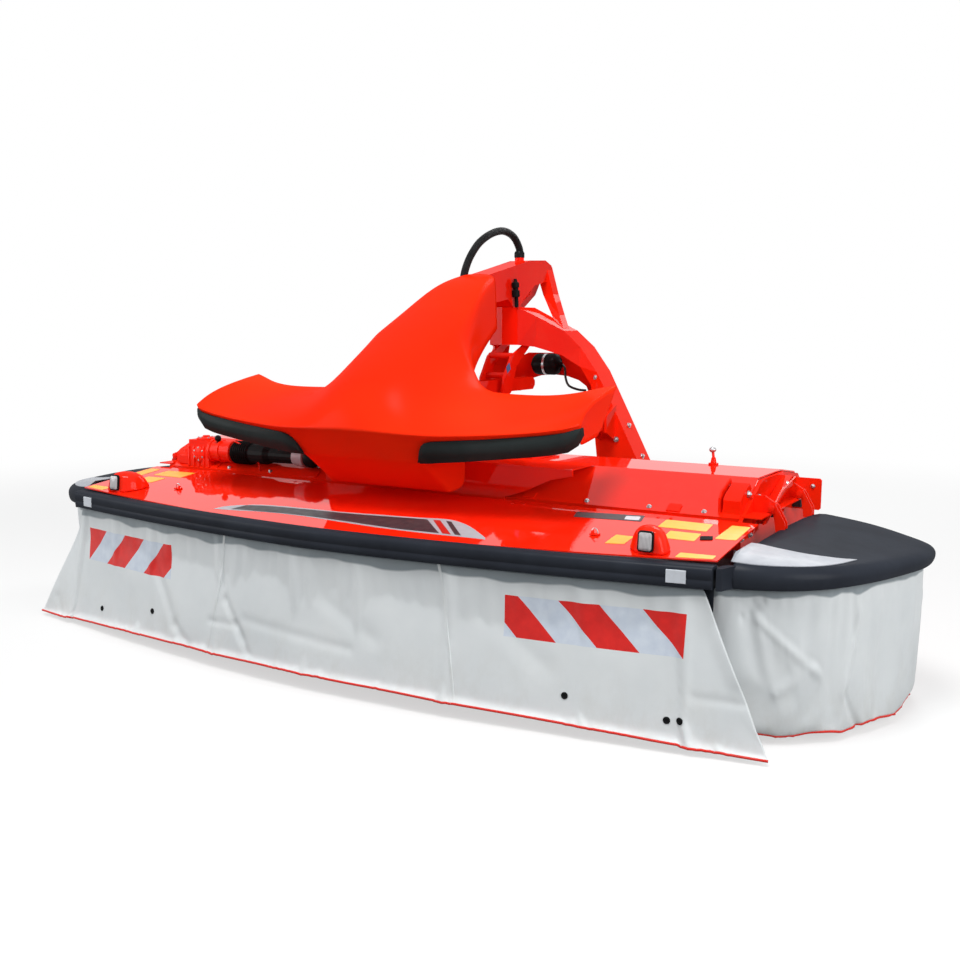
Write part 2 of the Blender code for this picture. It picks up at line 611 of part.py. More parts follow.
def make_saddle(red):
    """Pedestal on the mower: carries the lower arms' pivots and the upper link's tower."""
    floor = HOOD_BENDS[1][1] + GAP
    crown = block("carrier_saddle", (-SADDLE_HALF, SADDLE_HALF), (SADDLE_FRONT, SADDLE_BACK),
                  (floor, floor + SADDLE_PLATE), red)
    extras = []
    for side in (-1, 1):
        for lean in (-1, 1):
            inner = side * ARM_X + lean * (ARM_WIDTH / 2 + CHEEK_CLEAR)
            outer = inner + lean * CHEEK
            outline = ((SADDLE_FRONT + 0.005, floor), (SADDLE_BACK - 0.04, floor),
                       (ARM_FRONT_Y + 0.045, ARM_Z), (ARM_FRONT_Y + 0.02, ARM_Z + 0.04),
                       (ARM_FRONT_Y - 0.03, ARM_Z + 0.04), (SADDLE_FRONT + 0.04, ARM_Z))
            extras.append(prism("cheek", outline, "x", min(inner, outer), max(inner, outer), red))
        reach = ARM_WIDTH / 2 + CHEEK_CLEAR + CHEEK + 0.006
        middle = side * ARM_X
        extras.append(bar("pin", (ARM_FRONT_Y, ARM_Z), ARM_PIN, "x", middle - reach, middle + reach, red))
        inner = side * (LINK_WIDTH / 2 + CHEEK_CLEAR)
        outer = inner + side * CHEEK
        outline = ((SADDLE_BACK - 0.11, floor), (SADDLE_BACK - 0.005, floor), (ARM_FRONT_Y + 0.04, LINK_Z),
                   (ARM_FRONT_Y + 0.02, LINK_Z + 0.04), (ARM_FRONT_Y - 0.02, LINK_Z + 0.04),
                   (ARM_FRONT_Y - 0.04, LINK_Z))
        extras.append(prism("tower", outline, "x", min(inner, outer), max(inner, outer), red))
    reach = LINK_WIDTH / 2 + CHEEK_CLEAR + CHEEK + 0.006
    extras.append(bar("pin", (ARM_FRONT_Y, LINK_Z), ARM_PIN, "x", -reach, reach, red))
    return fuse(crown, *extras)


def make_saddle_front(red):
    """Flared, tapering brace between the deck's hinge line and the saddle."""
    y = HOOD_BENDS[0][0] - 0.012
    z_low = BEAM_Z + BEAM_SIZE / 2 + GAP
    right = [(BRACE[0][0], z_low)] + list(BRACE)
    outline = right + [(-x, z) for x, z in right[::-1]]
    brace = prism("saddle_front", outline, "y", y, y + 0.012 - GAP, red)
    reach = BRACE[3][0] - 0.01
    flange = block("flange", (-reach, reach), (y + 0.006, HOOD_BENDS[1][0]),
                   (BRACE_TOP_Z - 0.010, BRACE_TOP_Z - 0.004), red)
    bearing = block("bearing", (CROSS_DRIVE[1] + GAP, CROSS_DRIVE[1] + 0.02),
                    (y + 0.006, CROSS_AXIS[0] + 0.02), (CROSS_AXIS[1] - 0.044, BRACE_TOP_Z - 0.006), red)
    return fuse(brace, flange, bearing)


def make_centre_gearbox(iron):
    floor = HOOD_BENDS[1][1] + SADDLE_PLATE + 2 * GAP
    case = block("centre_gearbox", (-GEARBOX_HALF, GEARBOX_HALF),
                 (GEARBOX_FRONT, GEARBOX_FRONT + GEARBOX_SIZE), (floor, floor + 0.02), iron)
    profile = [(floor + height, radius) for height, radius in GEARBOX_STEPS]
    body = turned("body", profile, (0.0, GEARBOX_FRONT + GEARBOX_SIZE / 2), "z", iron)
    return fuse(case, body)


def make_cross_drive(rubber):
    """Shaft with its bellows, from the middle to the end gearbox."""
    start, end = CROSS_DRIVE
    profile = [(start + (end - start) * share, radius) for share, radius in CROSS_STEPS]
    return turned("cross_shaft", profile, CROSS_AXIS, "x", rubber)


def make_end_gearbox(iron):
    slope = (HOOD_BENDS[1][1] - HOOD_BENDS[0][1]) / (HOOD_BENDS[1][0] - HOOD_BENDS[0][0])
    front, back = END_BOX_FRONT, END_BOX_BACK
    seat = [HOOD_BENDS[0][1] + slope * (y - HOOD_BENDS[0][0]) + 1.3 * GAP for y in (front, back)]
    outline = ((front, seat[0]), (back, seat[1]), (back, END_BOX_TOP), (front, END_BOX_TOP))
    return prism("end_gearbox", outline, "x", CROSS_DRIVE[0] - END_BOX_LENGTH, CROSS_DRIVE[0] - GAP, iron)


def make_end_bracket(name, red):
    """Fixed end of the deck with the side guard's hinge gussets."""
    start = BEAM_HALF + PLATE + GAP
    top = deck_z(0.80)
    deck = block(name, (start, RIM_HALF + 0.004), (0.67, 1.30), (top - SHEET, top), red)
    extras = []
    for y in GUARD_EARS:
        outline = ((start, top - 0.10), (start, top + 0.06), (GUARD_X - 0.03, top + 0.06),
                   (GUARD_X + 0.012, GUARD_Z + 0.012), (GUARD_X + 0.012, GUARD_Z - 0.012),
                   (GUARD_X - 0.03, top - 0.002), (start + 0.02, top - 0.002))
        extras.append(prism("gusset", outline, "y", y - 0.006, y + 0.006, red))
        extras.append(bar("pin", (GUARD_X, GUARD_Z), GUARD_PIN, "y", y - 0.03, y + 0.03, red, 12))
    return fuse(deck, *extras)


def make_front_hood(red):
    """Sloping deck from the rim back to its hinge."""
    span = [i / RIM_STATIONS * RIM_HALF for i in range(-RIM_STATIONS, RIM_STATIONS + 1)]
    points, faces = [], []
    for x in span:
        front = rim_y(x) + RIM_DEPTH + GAP
        for y in (front, DECK_BACK):
            points.append((x, y, deck_z(y) - SHEET))
            points.append((x, y, deck_z(y)))
    for i in range(len(span) - 1):
        a, b = 4 * i, 4 * i + 4
        for j, k in ((0, 1), (1, 3), (3, 2), (2, 0)):
            faces.append((a + j, a + k, b + k, b + j))
    faces.append((0, 1, 3, 2))
    last = 4 * (len(span) - 1)
    faces.append((last, last + 2, last + 3, last + 1))
    hood = solid("front_hood", points, faces, red)
    for x in HOOD_HINGES:
        for side in (-1, 1):
            inner = x + side * (EAR_OFFSET - EAR_WIDTH / 2)
            outer = x + side * (EAR_OFFSET + EAR_WIDTH / 2)
            outline = ((HINGE_Y - 0.05, deck_z(HINGE_Y) - 0.003), (HINGE_Y - 0.05, deck_z(HINGE_Y) - 0.012),
                       (HINGE_Y - 0.014, HINGE_Z - 0.014), (HINGE_Y + 0.010, HINGE_Z - 0.014),
                       (HINGE_Y + 0.010, HINGE_Z + 0.012), (HINGE_Y - 0.010, deck_z(HINGE_Y) - 0.003))
            ear = prism("ear", outline, "x", min(inner, outer), max(inner, outer), red)
            fuse(hood, ear)
        hole = bar("hole", (HINGE_Y, HINGE_Z), HINGE_PIN_RADIUS + PIN_CLEAR, "x", x - 0.05, x + 0.05, red, 12)
        cut(hood, hole)
    return hood


def make_front_rim(plastic):
    """Moulded bumper that follows the bow of the front."""
    span = [i / RIM_STATIONS * RIM_HALF for i in range(-RIM_STATIONS, RIM_STATIONS + 1)]
    edge = 0.012
    section = ((0.0, RIM_BOTTOM + edge), (0.0, RIM_TOP - edge), (edge, RIM_TOP), (RIM_DEPTH, RIM_TOP),
               (RIM_DEPTH, RIM_BOTTOM), (edge, RIM_BOTTOM))
    loops = [[(x, rim_y(x) + y, z) for y, z in section] for x in span]
    return rings("front_rim", loops, plastic)


def make_lamp(name, side, red):
    """Teardrop lamp housing seated on the deck."""
    x = side * LAMP_X
    half = LAMP_WIDTH / 2
    loops = []
    for rise, share in LAMP_STEPS:
        loop = []
        for i in range(12):
            angle = 2 * math.pi * i / 12
            y = math.cos(angle) * half * share
            if y > 0:
                y *= (2 * (LAMP_LENGTH - half) / LAMP_WIDTH) * (1 - 0.5 * rise)
            place = LAMP_Y + y
            loop.append((x + math.sin(angle) * half * share, place, deck_z(place) + GAP + rise * LAMP_HEIGHT))
        loops.append(loop)
    return rings(name, loops, red)


def make_front_curtain(fabric):
    """Canvas hung under the rim, flaring towards its hem."""
    count = 20
    top = RIM_BOTTOM - GAP
    loops = []
    for i in range(-count, count + 1):
        share = i / count
        x_top, x_low = share * CURTAIN_TOP_HALF, share * CURTAIN_LOW_HALF
        y_top = rim_y(x_top) + CURTAIN_TOP_BACK
        y_low = rim_y(x_low) - CURTAIN_LOW_FRONT
        low = CURTAIN_LOW + CURTAIN_RISE * (1 - share * share)
        loops.append([(x_top, y_top, top), (x_low, y_low, low),
                      (x_low, y_low + CURTAIN, low), (x_top, y_top + CURTAIN, top)])
    return rings("front_curtain", loops, fabric)


def make_side_curtain(name, fabric):
    top = [(RIM_HALF + row[0], row[1]) for row in SIDE_CURTAIN]
    hem = [(RIM_HALF + row[2], row[3]) for row in SIDE_CURTAIN]
    loops = []
    for high, low, low_in, high_in in zip(top, hem, offset_line(hem, -CURTAIN), offset_line(top, -CURTAIN)):
        loops.append([(*high, GUARD_LOW - GAP), (*low, SIDE_CURTAIN_LOW), (*low_in, SIDE_CURTAIN_LOW),
                      (*high_in, GUARD_LOW - GAP)])
    return in_triangles(rings(name, loops, fabric))


def make_side_guard(name, plastic):
    """Domed half-round guard over the machine's end, open below."""
    low = GUARD_LOW
    outline = [Vector((RIM_HALF + out, y)) for out, y in GUARD_OUTLINE]
    centre = Vector((RIM_HALF + GUARD_CENTRE[0], GUARD_CENTRE[1]))
    root = RIM_HALF + GUARD_ROOT

    reach = RIM_HALF + max(out for out, _ in GUARD_OUTLINE)

    def loop(share, rise, slope, shrink=0.0):
        ring = []
        for point in outline:
            place = centre + (point - centre) * share
            pull = (place - centre).normalized() * shrink
            x = max(place.x - pull.x, root + shrink)
            ring.append((x, place.y - pull.y, low + rise + slope * (reach - x)))
        return ring

    outer = [loop(*row) for row in GUARD_DOME]
    inner = [loop(*row) for row in GUARD_LINING]
    inner += [loop(1.0, GUARD_LIP, 0.0, GUARD_FLANGE), loop(1.0, 0.0, 0.0, GUARD_FLANGE)]
    loops = outer + inner
    count = len(outline)
    points = [point for ring in loops for point in ring]
    faces = []
    last_outer = len(outer) - 1
    for k in range(len(loops)):
        if k == last_outer:
            continue
        following = (k + 1) % len(loops)
        for i in range(count):
            j = (i + 1) % count
            faces.append((k * count + i, k * count + j, following * count + j, following * count + i))
    top = last_outer * count
    faces.append(tuple(range(top, top + count)))
    faces.append(tuple(range(top + 2 * count - 1, top + count - 1, -1)))
    guard = solid(name, points, faces, plastic)
    for y in GUARD_EARS:
        for side in (-1, 1):
            near, far = sorted((y + side * 0.011, y + side * 0.019))
            outline_ear = ((GUARD_X - 0.013, GUARD_Z - 0.012), (GUARD_X - 0.013, GUARD_Z + 0.013),
                           (GUARD_X + 0.013, GUARD_Z + 0.013), (root + 0.062, low + 0.115),
                           (root + 0.062, low + 0.085), (root + 0.006, low + 0.085),
                           (GUARD_X + 0.005, GUARD_Z - 0.020))
            ear = prism("ear", outline_ear, "y", near, far, plastic)
            fuse(guard, ear)
        hole = bar("hole", (GUARD_X, GUARD_Z), GUARD_PIN + PIN_CLEAR, "y", y - 0.04, y + 0.04, plastic, 12)
        cut(guard, hole)
    return guard


def make_lower_arms(red):
    """Two arms in one weldment, from the saddle to the carrying frame."""
    pieces = []
    for side in (-1, 1):
        x = side * ARM_X
        half = ARM_HEIGHT / 2
        outline = ((ARM_FRONT_Y - 0.03, ARM_Z - 0.02), (ARM_FRONT_Y + 0.10, ARM_Z - half),
                   (ARM_BACK_Y - 0.10, ARM_Z - half), (ARM_BACK_Y + 0.03, ARM_Z - 0.02),
                   (ARM_BACK_Y + 0.03, ARM_Z + 0.02), (ARM_BACK_Y - 0.10, ARM_Z + half),
                   (ARM_FRONT_Y + 0.10, ARM_Z + half), (ARM_FRONT_Y - 0.03, ARM_Z + 0.02))
        arm = prism("arm", outline, "x", x - ARM_WIDTH / 2, x + ARM_WIDTH / 2, red)
        for y in (ARM_FRONT_Y, ARM_BACK_Y):
            hole = bar("hole", (y, ARM_Z), ARM_PIN + PIN_CLEAR, "x", x - ARM_WIDTH, x + ARM_WIDTH, red)
            cut(arm, hole)
        pieces.append(arm)
    tie = bar("tie", (ARM_BACK_Y - ARM_TIE_AHEAD, ARM_Z), ARM_TIE, "x", -ARM_X, ARM_X, red)
    arms = fuse(pieces[0], pieces[1], tie)
    arms.name = "lower_arms"
    return arms


def make_upper_link(red):
    half = LINK_HEIGHT / 2
    outline = ((ARM_FRONT_Y - half, LINK_Z - half), (ARM_BACK_Y - 0.055, LINK_Z - half),
               (ARM_BACK_Y - 0.035, LINK_Z - 0.01), (ARM_BACK_Y - 0.035, LINK_Z + 0.01),
               (ARM_BACK_Y - 0.055, LINK_Z + half), (ARM_FRONT_Y - half, LINK_Z + half))
    link = prism("upper_link", outline, "x", -LINK_WIDTH / 2, LINK_WIDTH / 2, red)
    hole = bar("hole", (ARM_FRONT_Y, LINK_Z), ARM_PIN + PIN_CLEAR, "x", -LINK_WIDTH, LINK_WIDTH, red)
    return cut(link, hole)


def make_boom_arch(red):
    """Wishbone of two box arms that meet in the head, with the lower arms' lugs."""
    def section(row, side):
        x_in, z_in, x_out, z_out, front, back = row
        front, back = LEG_BACK - front, LEG_BACK - back
        return [(side * x_in, front, z_in), (side * x_out, front, z_out),
                (side * x_out, back, z_out), (side * x_in, back, z_in)]

    loops = [section(row, -1) for row in ARCH_STATIONS[:0:-1]] + [section(row, 1) for row in ARCH_STATIONS]
    arch = rings("boom_arch", loops, red)
    for side in (-1, 1):
        for lean in (-1, 1):
            inner = side * ARM_X + lean * (ARM_WIDTH / 2 + CHEEK_CLEAR)
            outer = inner + lean * CHEEK
            root = LEG_BACK - LEG_DEPTH + 0.01
            outline = ((ARM_BACK_Y - 0.03, ARM_Z - 0.04), (root, ARM_Z - 0.09), (root, ARM_Z + 0.09),
                       (ARM_BACK_Y - 0.03, ARM_Z + 0.04))
            fuse(arch, prism("lug", outline, "x", min(inner, outer), max(inner, outer), red))
        reach = ARM_WIDTH / 2 + CHEEK_CLEAR + CHEEK
        middle = side * ARM_X
        fuse(arch, bar("pin", (ARM_BACK_Y, ARM_Z), ARM_PIN, "x", middle - reach, middle + reach, red))
    return arch


def make_arch_plate(red):
    """Cross plate behind the arch's arms with a round cut-out and the accumulator's cradle."""
    points = list(ARCH_PLATE) + [(-x, z) for x, z in ARCH_PLATE[::-1]]
    half, low = ARCH_PLATE[0]
    for i in range(1, 8):
        angle = math.pi * (1 - i / 8)
        points.append((half * math.cos(angle), low + CUTOUT_RISE * math.sin(angle)))
    front = LEG_BACK + GAP
    plate = prism("arch_plate", points, "y", front, front + 0.012, red)
    y, z = ACCUMULATOR
    cradle = block("cradle", (-0.016, 0.016), (y + ACCUMULATOR_WAIST + GAP, front + 0.006),
                   (z - 0.02, z + 0.02), red)
    return fuse(plate, cradle)


def make_neck_beam(red):
    reach = NECK_BACK - NECK_BEND
    profile = list(NECK_FRONT) + [(NECK_BEND + reach * share, z) for share, z in NECK_REAR]
    profile.append((NECK_FRONT[0][0], NECK_TIP_LOW))
    neck = prism("neck_beam", profile, "x", -NECK_HALF, NECK_HALF, red)
    high, low = ARCH_STATIONS[2], ARCH_STATIONS[3]
    slope = (low[3] - high[3]) / (low[2] - high[2])
    foot_x, foot_ahead = STRUT_FOOT
    foot_z = high[3] + slope * (foot_x - high[2]) + GAP
    half, depth = STRUT_HALF, STRUT_DEPTH
    # how much higher the inner edge lies than the outer, from the top down
    tilts = (-0.012, 0.0, 0.015, -slope * half)
    for side in (-1, 1):
        loops = []
        for (x, ahead, z), tilt in zip(STRUT + ((foot_x, foot_ahead, foot_z),), tilts):
            y = NECK_BACK - ahead
            loops.append([(side * (x - half), y - depth, z + tilt), (side * (x + half), y - depth, z - tilt),
                          (side * (x + half), y + depth, z - tilt), (side * (x - half), y + depth, z + tilt)])
        fuse(neck, rings("strut", loops, red))
    x, y, z = HOSE_START
    fuse(neck, block("clip", (x - 0.022, -NECK_HALF + 0.02), (y - 0.022, y + 0.022), (z - 0.025, z), red))
    x, y, z = HOSE_END
    return fuse(neck, bar("boss", (x, y), HOSE_RADIUS + 0.005, "z", z - 0.06, z, red))


def make_lift_link(red):
    """Two plates with round spacers, hung from the arch's head."""
    spread, half = LINK_SPREAD, 0.006
    head = ARCH_STATIONS[0][1] - GAP
    outline = [(HEAD_BACK, head), (HEAD_BACK - 0.065, head)]
    outline += [(HEAD_BACK - ahead, z) for ahead, z in LINK_PLATE]
    pieces = [prism("plate", outline, "x", side * spread - half, side * spread + half, red)
              for side in (-1, 1)]
    for ahead, z in LINK_SPACERS:
        pieces.append(bar("spacer", (HEAD_BACK - ahead, z), 0.014, "x", -spread, spread, red, 12))
    link = fuse(pieces[0], *pieces[1:])
    link.name = "lift_link"
    return link


def make_accumulator(black):
    profile = [(-along, radius) for along, radius in ACCUMULATOR_STEPS[::-1]] + list(ACCUMULATOR_STEPS)
    return turned("accumulator", profile, ACCUMULATOR, "x", black)


def make_hitch(red):
    """Lower hitch plates and their tie tube behind the arch's legs."""
    tube = block("hitch_frame", (-HITCH_HALF - 0.08, HITCH_HALF + 0.08), (LEG_BACK + GAP, HITCH_PAD_Y),
                 HITCH_TUBE, red)
    for side in (-1, 1):
        for x in (HITCH_HALF - 0.05, HITCH_HALF + 0.05):
            outline = ((LEG_BACK + 0.02, HITCH_LOW - 0.03), (HITCH_PAD_Y, HITCH_LOW - 0.01),
                       (HITCH_PAD_Y, HITCH_HIGH + 0.01), (LEG_BACK + 0.02, HITCH_HIGH + 0.03))
            fuse(tube, prism("pad", outline, "x", side * x - PLATE / 2, side * x + PLATE / 2, red))
        middle = side * HITCH_HALF
        face = block("face", (middle - HITCH_PAD / 2, middle + HITCH_PAD / 2),
                     (HITCH_PAD_Y - 0.012, HITCH_PAD_Y + 0.001), (HITCH_LOW, HITCH_HIGH), red)
        fuse(tube, face)
    return tube


def make_hose(rubber):
    """Hydraulic hose that rises beside the neck, arches and comes down into it."""
    route = [(*HOSE_START[:2], HOSE_START[2] + GAP)] + list(HOSE_ROUTE) + [(*HOSE_END[:2], HOSE_END[2] + GAP)]
    curve = bpy.data.curves.new("hose", "CURVE")
    curve.dimensions = "3D"
    curve.bevel_depth = HOSE_RADIUS
    curve.bevel_resolution = 2
    curve.use_fill_caps = True
    line = curve.splines.new("POLY")
    line.points.add(len(route) - 1)
    for point, place in zip(line.points, route):
        point.co = (*place, 1.0)
    hose = bpy.data.objects.new("hose", curve)
    bpy.context.collection.objects.link(hose)
    curve.materials.append(rubber)
    return hose


def make_top_cover(red):
    """Moulded shell over the drive: a bow with two wings and a humped neck."""
    points, place = [], {}
    for r, row in enumerate(COVER_ROWS):
        for c, point in enumerate(row):
            for side in ((1, -1) if point[0] else (1,)):
                place[r, side * c] = len(points)
                points.append((side * point[0], point[1], point[2]))
    faces = []
    for r in range(len(COVER_ROWS) - 1):
        reach = min(len(COVER_ROWS[r]), len(COVER_ROWS[r + 1])) - 1
        for c in range(-reach, reach):
            faces.append((place[r, c], place[r, c + 1], place[r + 1, c + 1], place[r + 1, c]))
    return sheet_solid("top_cover", points, faces, COVER_WALL, red)


def sheet_solid(name, points, faces, thickness, material):
    """A closed thin shell from an open sheet, thickened inwards."""
    mesh = bpy.data.meshes.new(name)
    mesh.from_pydata([tuple(point) for point in points], [], faces)
    piece = bpy.data.objects.new(name, mesh)
    bpy.context.collection.objects.link(piece)
    mesh.materials.append(material)
    thicken = piece.modifiers.new("thickness", "SOLIDIFY")
    thicken.thickness = thickness
    thicken.offset = -1.0
    thicken.use_even_offset = True
    apply_modifiers(piece)
    return piece


def make_cover_trim(name, side, plastic):
    """Dark bumper under a wing's leading edge."""
    loops = []
    for x, y_low, z_low, y_high, z_high, depth in TRIM_STATIONS:
        loops.append([(side * x, y_low, z_low), (side * x, y_high, z_high),
                      (side * x, y_high + depth, z_high), (side * x, y_low + depth, z_low)])
    return rings(name, loops, plastic)


# ================================================================ assembly
def carry(piece, empty):
    piece.parent = empty
    piece.location = -empty.location


def build():
    clear_scene()
    red = make_material("gloss_red", (0.85, 0.05, 0.01), 0.25, 0.0)
    steel = make_material("bare_steel", (0.35, 0.35, 0.36), 0.4, 0.9)
    black = make_material("black_plastic", (0.012, 0.014, 0.018), 0.45, 0.0)
    grey = make_material("dark_trim", (0.03, 0.035, 0.035), 0.5, 0.0)
    canvas = make_material("canvas", (0.70, 0.72, 0.73), 0.75, 0.0)
    rubber = make_material("rubber", (0.01, 0.01, 0.01), 0.6, 0.0)

    front = min(rim_y(0) - CURTAIN_LOW_FRONT, 0.0)
    back = HITCH_PAD_Y + 0.001
    machine = make_empty("machine", (0.0, -(front + back) / 2, 0.0))
    fixed = make_empty("mower", (0, 0, 0), machine)
    hood_pivot = make_empty("front_guard", (0, HINGE_Y, HINGE_Z), machine)
    arm_pivot = make_empty("lower_arms_pivot", (0, ARM_FRONT_Y, ARM_Z), machine)
    frame_pivot = make_empty("carrying_frame", (0, ARM_BACK_Y, ARM_Z), machine)
    link_pivot = make_empty("upper_link_pivot", (0, ARM_FRONT_Y, LINK_Z), machine)
    rotor_pivot = make_empty("rotor_axis", (0, ROTOR_Y, ROTOR_Z), machine)

    left_plate, right_plate = make_side_plates(red)
    left_bracket = make_end_bracket("end_bracket_left", red)
    for piece in (make_main_beam(red), make_conditioner_hood(red), left_plate, right_plate,
                  make_cutterbar(steel), make_rear_beam(red), make_saddle(red), make_saddle_front(red),
                  make_centre_gearbox(red), make_cross_drive(rubber), make_end_gearbox(red),
                  left_bracket, mirrored("end_bracket_right", left_bracket)):
        carry(piece, fixed)

    for number, x in enumerate(disc_places(), 1):
        pivot = make_empty(f"disc_{number}_axis", (x, DISC_Y, BAR_TOP), machine)
        carry(make_disc(number, x, steel), pivot)
    carry(make_conditioner_rotor(steel), rotor_pivot)

    for piece in (make_front_hood(red), make_front_rim(black), make_lamp("lamp_left", 1, red),
                  make_lamp("lamp_right", -1, red), make_front_curtain(canvas)):
        carry(piece, hood_pivot)

    left_guard = make_side_guard("side_guard_left", black)
    left_curtain = make_side_curtain("side_curtain_left", canvas)
    left_door = make_swath_door("swath_door_left", red)
    for word, side in (("left", 1), ("right", -1)):
        guard_pivot = make_empty(f"guard_{word}_pivot", (side * GUARD_X, 0.8, GUARD_Z), machine)
        door_pivot = make_empty(f"door_{word}_pivot", (side * DOOR_X, DOOR_Y, DOOR_LOW), machine)
        stand_pivot = make_empty(f"stand_{word}_pivot", (side * STAND_X, STAND_Y, STAND_Z), machine)
        carry(make_stand(f"parking_stand_{word}", side * STAND_X, steel), stand_pivot)
        if side == 1:
            carry(left_guard, guard_pivot)
            carry(left_curtain, guard_pivot)
            carry(left_door, door_pivot)
        else:
            carry(mirrored("side_guard_right", left_guard), guard_pivot)
            carry(mirrored("side_curtain_right", left_curtain), guard_pivot)
            carry(mirrored("swath_door_right", left_door), door_pivot)

    carry(make_lower_arms(red), arm_pivot)
    carry(make_upper_link(red), link_pivot)
    for piece in (make_boom_arch(red), make_arch_plate(red), make_neck_beam(red), make_lift_link(red),
                  make_accumulator(black), make_hitch(red), make_hose(rubber), make_top_cover(red),
                  make_cover_trim("cover_trim_left", 1, grey), make_cover_trim("cover_trim_right", -1, grey)):
        carry(piece, frame_pivot)


build()
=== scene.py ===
"""Looks of the front-mounted mower conditioner: finishes, canvas, moulded shells and small fittings.

Metres.  at(x, y, z) takes a place across the machine (+x is its left side), behind the front
rim's foremost point, and above the ground.
"""
import json
import math

import bmesh
import bpy
import numpy as np
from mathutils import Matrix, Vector, noise
from mathutils.bvhtree import BVHTree


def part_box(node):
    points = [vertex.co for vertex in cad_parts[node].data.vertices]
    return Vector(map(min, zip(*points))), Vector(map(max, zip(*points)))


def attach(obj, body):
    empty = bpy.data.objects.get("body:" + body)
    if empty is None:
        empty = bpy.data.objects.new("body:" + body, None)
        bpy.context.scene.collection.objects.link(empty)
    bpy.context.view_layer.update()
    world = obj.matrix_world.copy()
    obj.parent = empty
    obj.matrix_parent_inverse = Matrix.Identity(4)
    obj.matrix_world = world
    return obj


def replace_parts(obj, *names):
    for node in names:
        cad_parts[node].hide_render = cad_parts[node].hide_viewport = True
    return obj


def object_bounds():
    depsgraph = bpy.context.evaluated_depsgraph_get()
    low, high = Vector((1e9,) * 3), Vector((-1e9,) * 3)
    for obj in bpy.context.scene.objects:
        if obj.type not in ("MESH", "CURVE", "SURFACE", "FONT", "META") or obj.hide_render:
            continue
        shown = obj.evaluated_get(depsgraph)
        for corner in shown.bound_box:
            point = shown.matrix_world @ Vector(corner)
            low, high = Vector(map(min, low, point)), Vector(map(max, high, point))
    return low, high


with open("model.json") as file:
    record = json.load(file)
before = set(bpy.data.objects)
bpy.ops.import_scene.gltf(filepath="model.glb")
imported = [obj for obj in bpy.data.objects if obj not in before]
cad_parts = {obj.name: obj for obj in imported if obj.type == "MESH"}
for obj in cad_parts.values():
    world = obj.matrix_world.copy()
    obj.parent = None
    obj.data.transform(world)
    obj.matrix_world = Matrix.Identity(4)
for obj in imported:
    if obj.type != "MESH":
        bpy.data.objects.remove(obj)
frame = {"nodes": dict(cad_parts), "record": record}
cad_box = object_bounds()
nodes = frame["nodes"]

RIM_LOW, RIM_HIGH = (Vector(corner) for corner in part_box("front_rim"))
CURTAIN_LOW, CURTAIN_HIGH = (Vector(corner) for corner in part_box("front_curtain"))
FRONT = RIM_LOW.y               # the rim's foremost point
RIM_HALF = RIM_HIGH.x
RIM_DEPTH = 0.055
RIM_SWEEP = RIM_HIGH.y - FRONT - RIM_DEPTH
RIM_POWER = 1.62
RIM_SECTION = ((.004, .533), (.001, .541), (0.0, .556), (.003, .5605), (.003, .5635), (0.0, .568),
               (.001, .59), (.005, .598), (.013, .6025), (.054, .603), (.055, .6), (.055, .5305),
               (.012, .53))
DECK_SLOPE = 0.109
DECK_FRONT_Z = 0.592
HOOD_FACE = (0.685, 0.668, 0.558)       # y and z of the conditioner hood's front fold, rise of its face
HOOD_NORMAL = Vector((0.0, -HOOD_FACE[2], 1.0)).normalized()
PLATE_FACE = 1.4155                     # outer face of the side plates

CURTAIN_TOP_HALF = RIM_HALF - 0.03
CURTAIN_HEM_HALF = CURTAIN_HIGH.x
CURTAIN_TOP_BACK = 0.022
CURTAIN_HEM_FRONT = FRONT - CURTAIN_LOW.y
HEM_SHARE = 0.998               # the front hem's half width as a share of the solid's
HEM_RISE = 0.045
HEM_RADIUS = 0.0045
HEM_FLARE = 0.070               # how far the right end of the front hem swings out
FLARE_FORWARD = 0.030
FLARE_START = 0.80              # share of the way to the right end
FLARE_POWER = 1.5
SCALLOP_DEPTH = 0.006           # small waves where the front curtain leaves the rim
SCALLOP_PITCH = 17.0
SCALLOP_DRIFT = (1.3, 5.0)
CURTAIN_SEAMS = (-0.49, 0.59)   # where the front curtain's panels are sewn together
SEAM_PINCH = 0.006
SEAM_REACH = 0.03
SEAM_SECTION = ((-.006, .001), (-.005, -.0035), (.005, -.0035), (.006, .001))
# creases, as x and z at both ends, how deep they go in, and their breadth
FRONT_FOLDS = (
    (-.491, .485, -.447, .275, .009, .022), (-.447, .275, -.334, .138, .015, .026),
    (-.533, .183, -.378, .189, .009, .02), (-.378, .189, -.298, .087, .014, .024),
    (-.915, .37, -.748, .128, .012, .04), (-.748, .128, -.647, .054, .012, .035),
    (.058, .348, .293, .233, .007, .06), (-.334, .217, .191, .182, .006, .03),
    (1.49, .43, 1.575, .257, -.014, .05), (1.44, .185, 1.609, .184, .007, .022),
    (-1.643, .111, -1.605, .033, .012, .025), (.7, .4, .95, .22, .006, .07))
FRONT_FOLD_SHARE = 0.6
# folds round the side curtains: share of the way round and z at both ends, depth and breadth
SIDE_FOLDS = (
    (.154, .431, .227, .487, -.016, .022), (.197, .431, .371, .239, .018, .026),
    (.227, .189, .348, .257, .012, .034), (.559, .425, .518, .319, .014, .024),
    (.518, .319, .455, .158, .016, .028), (.472, .158, .538, .034, -.018, .032),
    (.639, .419, .592, .077, .016, .024), (.78, .44, .74, .18, .012, .03), (.9, .4, .93, .1, .012, .03))
SIDE_FOLD_SHARE = 0.65
SIDE_RUN_LENGTH = 1.45          # turns a share of the way round into a distance like z
SIDE_CURTAIN_INSET = 0.005
# soft waves in the cloth: breadth, height, seed and depth
FRONT_RIPPLES = ((2.3, 2.0, 3.1, .012), (6.0, 3.5, 8.2, .006))
SIDE_RIPPLES = ((7.0, 4.0, 5.5, .014), (19.0, 9.0, 1.5, .006))
